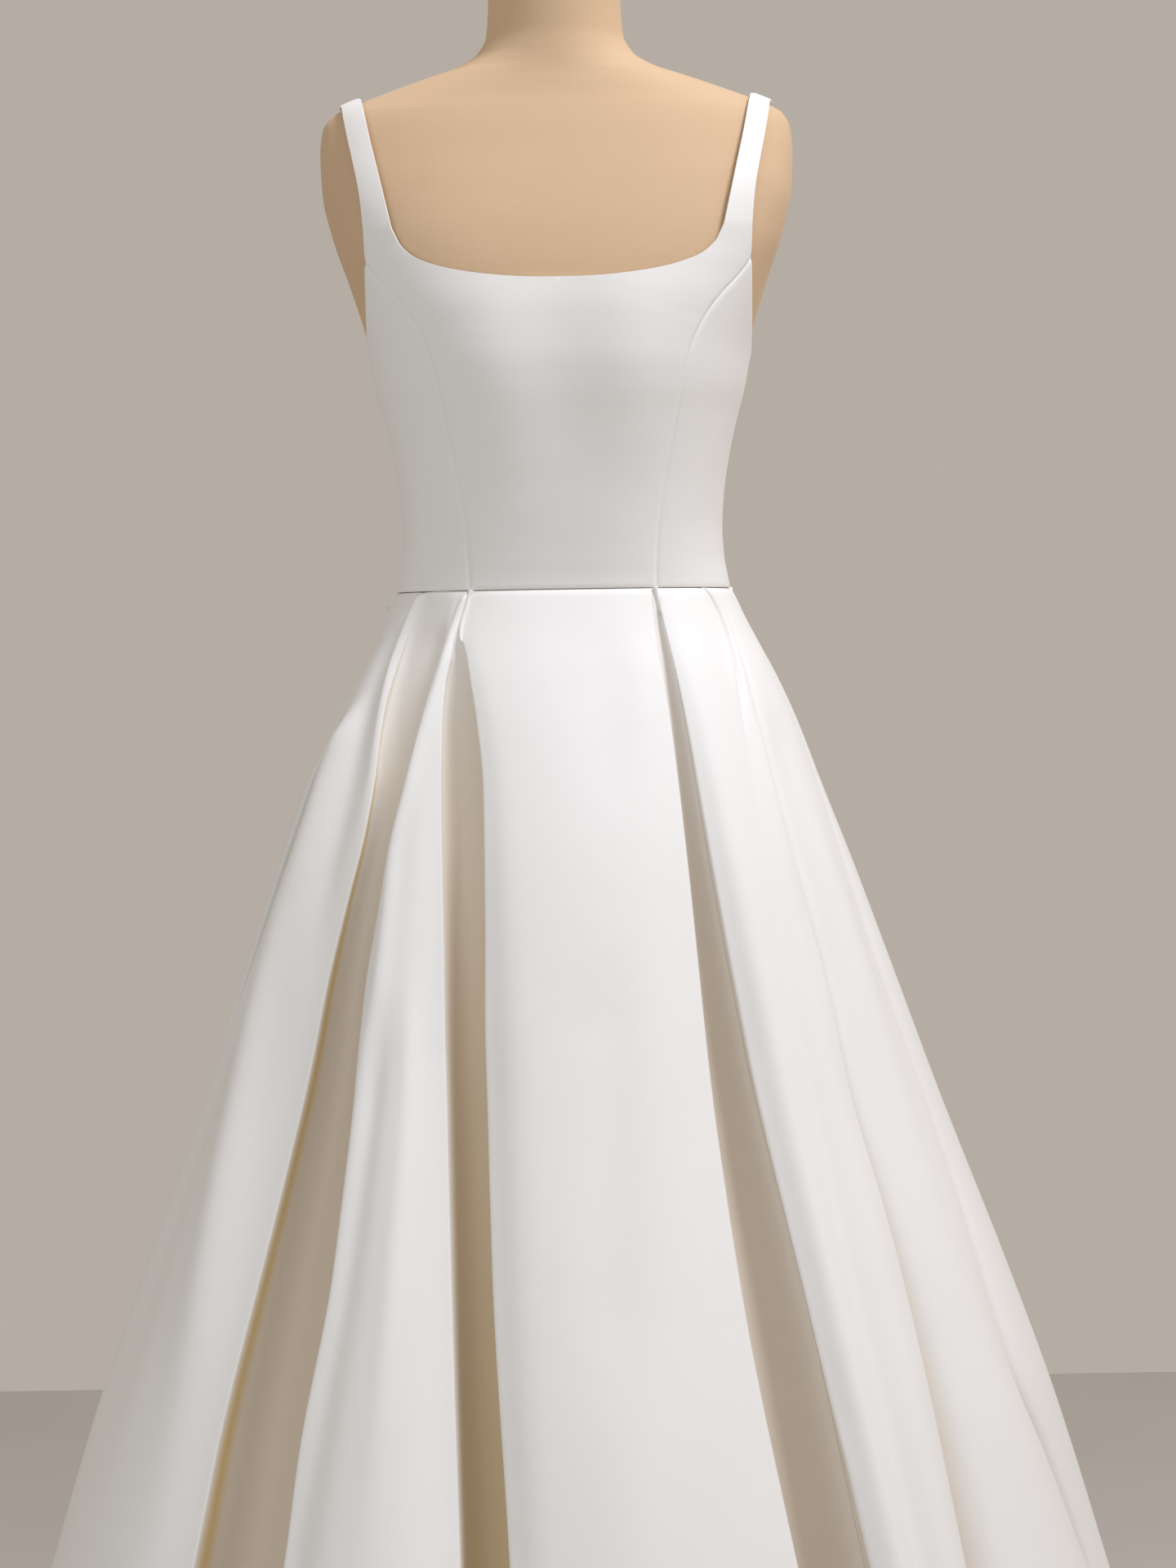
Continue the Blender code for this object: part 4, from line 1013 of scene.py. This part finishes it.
def heavy_satin():
    """Silk satin with a fine twill: even, soft lustre, with painted warm shade and a painted golden glow
    in its folds.
    """
    material, add = finish("heavy_silk_satin")
    weave = add("ShaderNodeUVMap", (-5, 0), {"uv_map": "weave"}).outputs[0]
    turned = add("ShaderNodeMapping", (-4, 0), Vector=weave,
                 Rotation=(0.0, 0.0, math.radians(TWILL_LEAN)))
    twill = add("ShaderNodeTexWave", (-3, 0), {"wave_type": "BANDS", "bands_direction": "X"},
                Vector=turned.outputs[0], Scale=WAVE_PERIOD / TWILL_PITCH, Distortion=0.6, Detail=1.0,
                Detail_Scale=2.0)
    slub = add("ShaderNodeTexNoise", (-3, -2), Vector=weave, Scale=260.0, Detail=3.0)
    height = add("ShaderNodeMath", (-2, 0), {"operation": "ADD"}, _0=twill.outputs["Fac"],
                 _1=slub.outputs["Fac"])
    grain = add("ShaderNodeBump", (-1, -1), Height=height.outputs[0], Distance=0.00005, Strength=0.35)
    drape = add("ShaderNodeTexNoise", (-3, -4), Vector=weave, Scale=9.0, Detail=2.0)
    soft = add("ShaderNodeBump", (0, -1), Height=drape.outputs["Fac"], Distance=0.004, Strength=0.25,
               Normal=grain.outputs[0])
    dye = add("ShaderNodeTexNoise", (-3, 2), Vector=weave, Scale=6.0, Detail=3.0)
    base = add("ShaderNodeMix", (-1, 2), {"data_type": "RGBA"}, _0=dye.outputs["Fac"],
               _6=colour(IVORY), _7=colour(IVORY_DEEP))
    # Painted shade: a point attribute set by the depth of the fold mixes warm beige into the colour.
    deep = add("ShaderNodeAttribute", (-3, 4), {"attribute_name": "fold_depth"})
    shade = add("ShaderNodeMapRange", (-2, 4), Value=deep.outputs["Fac"], From_Min=0.10, From_Max=1.0,
                To_Max=0.9)
    painted_shade_mix = add("ShaderNodeMix", (0, 3), {"data_type": "RGBA"}, _0=shade.outputs[0],
                _6=base.outputs[2], _7=colour(PAINTED_FOLD_SHADE))
    # Painted glow: a second point attribute mixes a golden strip of painted bounce light into deep folds.
    glow = add("ShaderNodeAttribute", (-1, 5), {"attribute_name": "fold_glow"})
    tinted = add("ShaderNodeMix", (1, 2), {"data_type": "RGBA"}, _0=glow.outputs["Fac"],
                 _6=painted_shade_mix.outputs[2], _7=colour(PAINTED_FOLD_GLOW))
    cloth = add("ShaderNodeBsdfPrincipled", (2, 0), Base_Color=tinted.outputs[2], Normal=soft.outputs[0],
                Roughness=0.55, Specular_IOR_Level=0.35, Sheen_Weight=0.12, Sheen_Roughness=0.45,
                Sheen_Tint=colour("#FFFAF2"))
    add("ShaderNodeOutputMaterial", (4, 0), Surface=cloth.outputs[0])
    return material


def tan_linen():
    """Plain-woven linen drawn over the form: matt, with slubs in both threads."""
    material, add = finish("tan_linen_cover")
    place = add("ShaderNodeTexCoord", (-5, 0)).outputs["Object"]
    across, upright = (
        add("ShaderNodeTexWave", (-3, k), {"wave_type": "BANDS", "bands_direction": way}, Vector=place,
            Scale=WAVE_PERIOD / LINEN_PITCH, Distortion=1.2, Detail=2.0, Detail_Scale=1.5).outputs["Fac"]
        for k, way in enumerate("XZ")
    )
    weave = add("ShaderNodeMath", (-2, 0), {"operation": "MULTIPLY"}, _0=across, _1=upright)
    slub = add("ShaderNodeTexNoise", (-3, -3), Vector=place, Scale=180.0, Detail=4.0)
    height = add("ShaderNodeMath", (-1, 0), {"operation": "ADD"}, _0=weave.outputs[0],
                 _1=slub.outputs["Fac"])
    bump = add("ShaderNodeBump", (0, -1), Height=height.outputs[0], Distance=0.00012, Strength=0.5)
    patch = add("ShaderNodeTexNoise", (-3, 3), Vector=place, Scale=7.0, Detail=5.0)
    dye = add("ShaderNodeMix", (0, 2), {"data_type": "RGBA"}, _0=patch.outputs["Fac"],
              _6=colour("#D9BB99"), _7=colour("#CEAE8B"))
    cloth = add("ShaderNodeBsdfPrincipled", (2, 0), Base_Color=dye.outputs[2], Normal=bump.outputs[0],
                Roughness=0.8, Specular_IOR_Level=0.25, Sheen_Weight=0.2, Sheen_Roughness=0.6,
                Sheen_Tint=colour("#F2DCC0"))
    add("ShaderNodeOutputMaterial", (4, 0), Surface=cloth.outputs[0])
    return material


def mottled(name, scale, detail, tones, relief=None, drawn=(1.0, 1.0, 1.0), **shader):
    """A finish that varies softly between two tones.

    The relief is the scale and detail of its grain, and the depth and strength of it."""
    material, add = finish(name)
    place = add("ShaderNodeTexCoord", (-4, 0)).outputs["Object"]
    place = add("ShaderNodeMapping", (-3, 0), Vector=place, Scale=drawn).outputs[0]
    mottle = add("ShaderNodeTexNoise", (-2, 1), Vector=place, Scale=scale, Detail=detail)
    tone = add("ShaderNodeMix", (-1, 1), {"data_type": "RGBA"}, _0=mottle.outputs["Fac"],
               _6=colour(tones[0]), _7=colour(tones[1]))
    if relief:
        grain = add("ShaderNodeTexNoise", (-2, -1), Vector=place, Scale=relief[0], Detail=relief[1])
        bump = add("ShaderNodeBump", (-1, -1), Height=grain.outputs["Fac"], Distance=relief[2],
                   Strength=relief[3])
        shader["Normal"] = bump.outputs[0]
    made = add("ShaderNodeBsdfPrincipled", (2, 0), Base_Color=tone.outputs[2], **shader)
    add("ShaderNodeOutputMaterial", (4, 0), Surface=made.outputs[0])
    return material


SATIN_FINISH, LINEN_FINISH = heavy_satin(), tan_linen()
# Polyester sewing thread in the colour of the satin, a little glossier.
THREAD_FINISH = mottled("polyester_thread", 900.0, 2.0, ("#FAF6EE", "#F1EADC"), Roughness=0.4)
# Steel tube brushed along its length: fine upright scratches that spread the light.
STEEL_FINISH = mottled("brushed_steel_tube", 1400.0, 3.0, ("#B9BABC", "#A9AAAD"),
                       (1400.0, 3.0, 0.00002, 0.4), (1.0, 1.0, 0.02), Metallic=1.0, Roughness=0.34)
# Powder enamel baked on a steel plate: off-white with a faint orange-peel.
ENAMEL_FINISH = mottled("baked_enamel", 11.0, 4.0, ("#E6E3DC", "#DAD6CD"), (420.0, 1.0, 0.00008, 0.4),
                        Roughness=0.38, Coat_Weight=0.2, Coat_Roughness=0.25)
# A pale, dull floor, a little mottled, as plastered board is.
FLOOR_FINISH = mottled("pale_floor", 2.2, 4.0, ("#BEB8B0", "#B2ACA4"), Roughness=0.85)
print("finishes:", [material.name for material in bpy.data.materials])


# %% Lay the seams
STITCH, HEM_STITCH = 0.0026, 0.0090
STITCH_LENGTH, HEM_STITCH_LENGTH = 0.82 * STITCH, 0.0012
THREAD = 0.00045
THREAD_SINK = 0.0002  # below the outer face of the wall
HEM_TURN = 0.030  # the hem is folded up this far and caught with blind stitches
HEM_THREAD_LIFT = 0.00005


def seam_line(name, points, pitch, length):
    """Sews along a line of points and returns the stitches as a plain piece."""
    mesh = bpy.data.meshes.new(name)
    mesh.from_pydata([tuple(p) for p in points], [(k, k + 1) for k in range(len(points) - 1)], [])
    piece = keep(name, mesh)
    sewing = piece.modifiers.new("sewing", "NODES")
    sewing.node_group = SEWING
    values = {"Stitch pitch": pitch, "Stitch length": length, "Thread radius": THREAD / 2.0,
              "Thread": THREAD_FINISH}
    for item in sewing_inputs:
        if item.name in values:
            sewing[item.identifier] = values[item.name]
    return made_plain(piece)


def joined(name, pieces):
    """One mesh from several pieces."""
    whole = bmesh.new()
    for piece in pieces:
        whole.from_mesh(piece.data)
        mesh = piece.data
        bpy.data.objects.remove(piece)
        bpy.data.meshes.remove(mesh)
    mesh = bpy.data.meshes.new(name)
    whole.to_mesh(mesh)
    whole.free()
    mesh.materials.append(THREAD_FINISH)
    mesh.shade_smooth()
    print("%-26s %6d faces" % (name, len(mesh.polygons)))
    return keep(name, mesh)


def sewn_edge(key, side, hand):
    """Stitches in the middle of the wall along one side of a piece of the bodice."""
    points = bodice_right[key]
    line = {"L": np.s_[:, 0], "R": np.s_[:, -1], "B": np.s_[0, :], "T": np.s_[-1, :]}[side]
    sunk = points[line] + normals_of(points)[line] * (CLOTH - THREAD_SINK)
    return seam_line(f"seam_{key}_{side}_{hand}", sunk * (hand, 1.0, 1.0), STITCH, STITCH_LENGTH)


princess_seams = (("side_front", "L"), ("side_front", "R"), ("side_back", "R"), ("back", "T"))
edges = [(key, side, hand) for hand in (1, -1) for key, side in princess_seams] + [("back", "R", 1)]
edges += [(key, "B", hand) for key in SIDES_AND_BACK for hand in (1, -1)] + [("front", "B", 1)]
bodice_stitches = joined("bodice_stitches", [sewn_edge(*edge) for edge in edges])
hem_row = int(np.argmin(np.abs(heights - HEM - HEM_TURN)))
hem_line = ring[hem_row] + normals_of(ring)[hem_row] * HEM_THREAD_LIFT
skirt_stitches = joined("hem_stitches", [seam_line("hem_row", hem_line, HEM_STITCH, HEM_STITCH_LENGTH)])

# %% [markdown]
# ## Put it together
#
# Each piece of cloth stands for the solid of its own name: it is attached to the root
# and that solid is hidden. The pole and the base keep their solids, which have the right
# shape, and get finishes.

# %% Finishes, bodies and cuts
for node_name, material in (("stand_pole", STEEL_FINISH), ("stand_base", ENAMEL_FINISH)):
    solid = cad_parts[node_name]
    solid.data.materials.clear()
    solid.data.materials.append(material)
for piece in satin_pieces.values():
    piece.data.materials.append(SATIN_FINISH)
form.data.materials.append(LINEN_FINISH)
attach(form, "root")
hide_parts("form_torso")
for piece in (bodice_stitches, skirt_stitches):
    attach(piece, "root")


def declare(cut, hand):
    piece = satin_pieces[cut.name + hand]
    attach(piece, "root")
    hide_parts(cut.node + hand)


for key, cut in BODICE_CUTS.items():
    for hand in ("",) if key == "front" else ("_left", "_right"):
        declare(cut, hand)
for gore in GORES:
    declare(gore, "")
print("pieces of cloth declared:", len(satin_pieces))

# %% [markdown]
# ## The studio
#
# A plain pale floor, a big soft key light high on the right, a weaker fill from the left
# and an even, pale surround. The camera stands three metres in front, at the height of
# the waist, and leans a little to the side, as hand-held cameras do.

# %% Floor, lights and camera
FLOOR_HALF = 1.90
FLOOR_FRONT = -3.0 * FLOOR_HALF
mesh = bpy.data.meshes.new("studio_floor")
corners = [(-FLOOR_HALF, FLOOR_FRONT, 0.0), (FLOOR_HALF, FLOOR_FRONT, 0.0),
           (FLOOR_HALF, FLOOR_HALF, 0.0), (-FLOOR_HALF, FLOOR_HALF, 0.0)]
mesh.from_pydata(corners, [], [(0, 1, 2, 3)])
mesh.materials.append(FLOOR_FINISH)
keep("studio_floor", mesh)

world = bpy.data.worlds.new("pale_surround")
bpy.context.scene.world = world
world.use_nodes = True
surround = world.node_tree.nodes["Background"]
surround.inputs["Color"].default_value = colour("#B5ADA4")
surround.inputs["Strength"].default_value = 1.0


def stand(name, data, place, turn):
    """Sets a lamp or a camera in its place."""
    made = bpy.data.objects.new(name, data)
    made.location = place
    made.rotation_mode = "QUATERNION"
    made.rotation_quaternion = turn
    bpy.context.scene.collection.objects.link(made)
    return made


for name, place, size, power, tint in (
    ("key", Vector((1.65, -0.95, 4.1)), 1.0, 111.0, "#F2F5FF"),
    ("fill", Vector((-1.6, -3.6, 1.6)), 2.4, 25.0, "#D2E8FF"),
):
    lamp = bpy.data.lights.new(name, "AREA")
    lamp.shape = "DISK"
    lamp.size = size
    lamp.energy = power
    lamp.color = colour(tint)[:3]
    stand(name, lamp, place, (Vector((0.0, 0.0, 0.8)) - place).to_track_quat("-Z", "Y"))

camera_data = bpy.data.cameras.new("camera")
camera_data.lens = 85.2
camera_data.sensor_width = 36.0
looking = Vector((0.00579, 1.0, -0.0358)).normalized()
lean = Matrix.Rotation(math.radians(0.9), 3, looking)
turn = (lean @ looking.to_track_quat("-Z", "Y").to_matrix()).to_quaternion()
bpy.context.scene.camera = stand("camera", camera_data, (0.0, -3.0, 0.97), turn)
bpy.context.scene.view_settings.view_transform = "Standard"
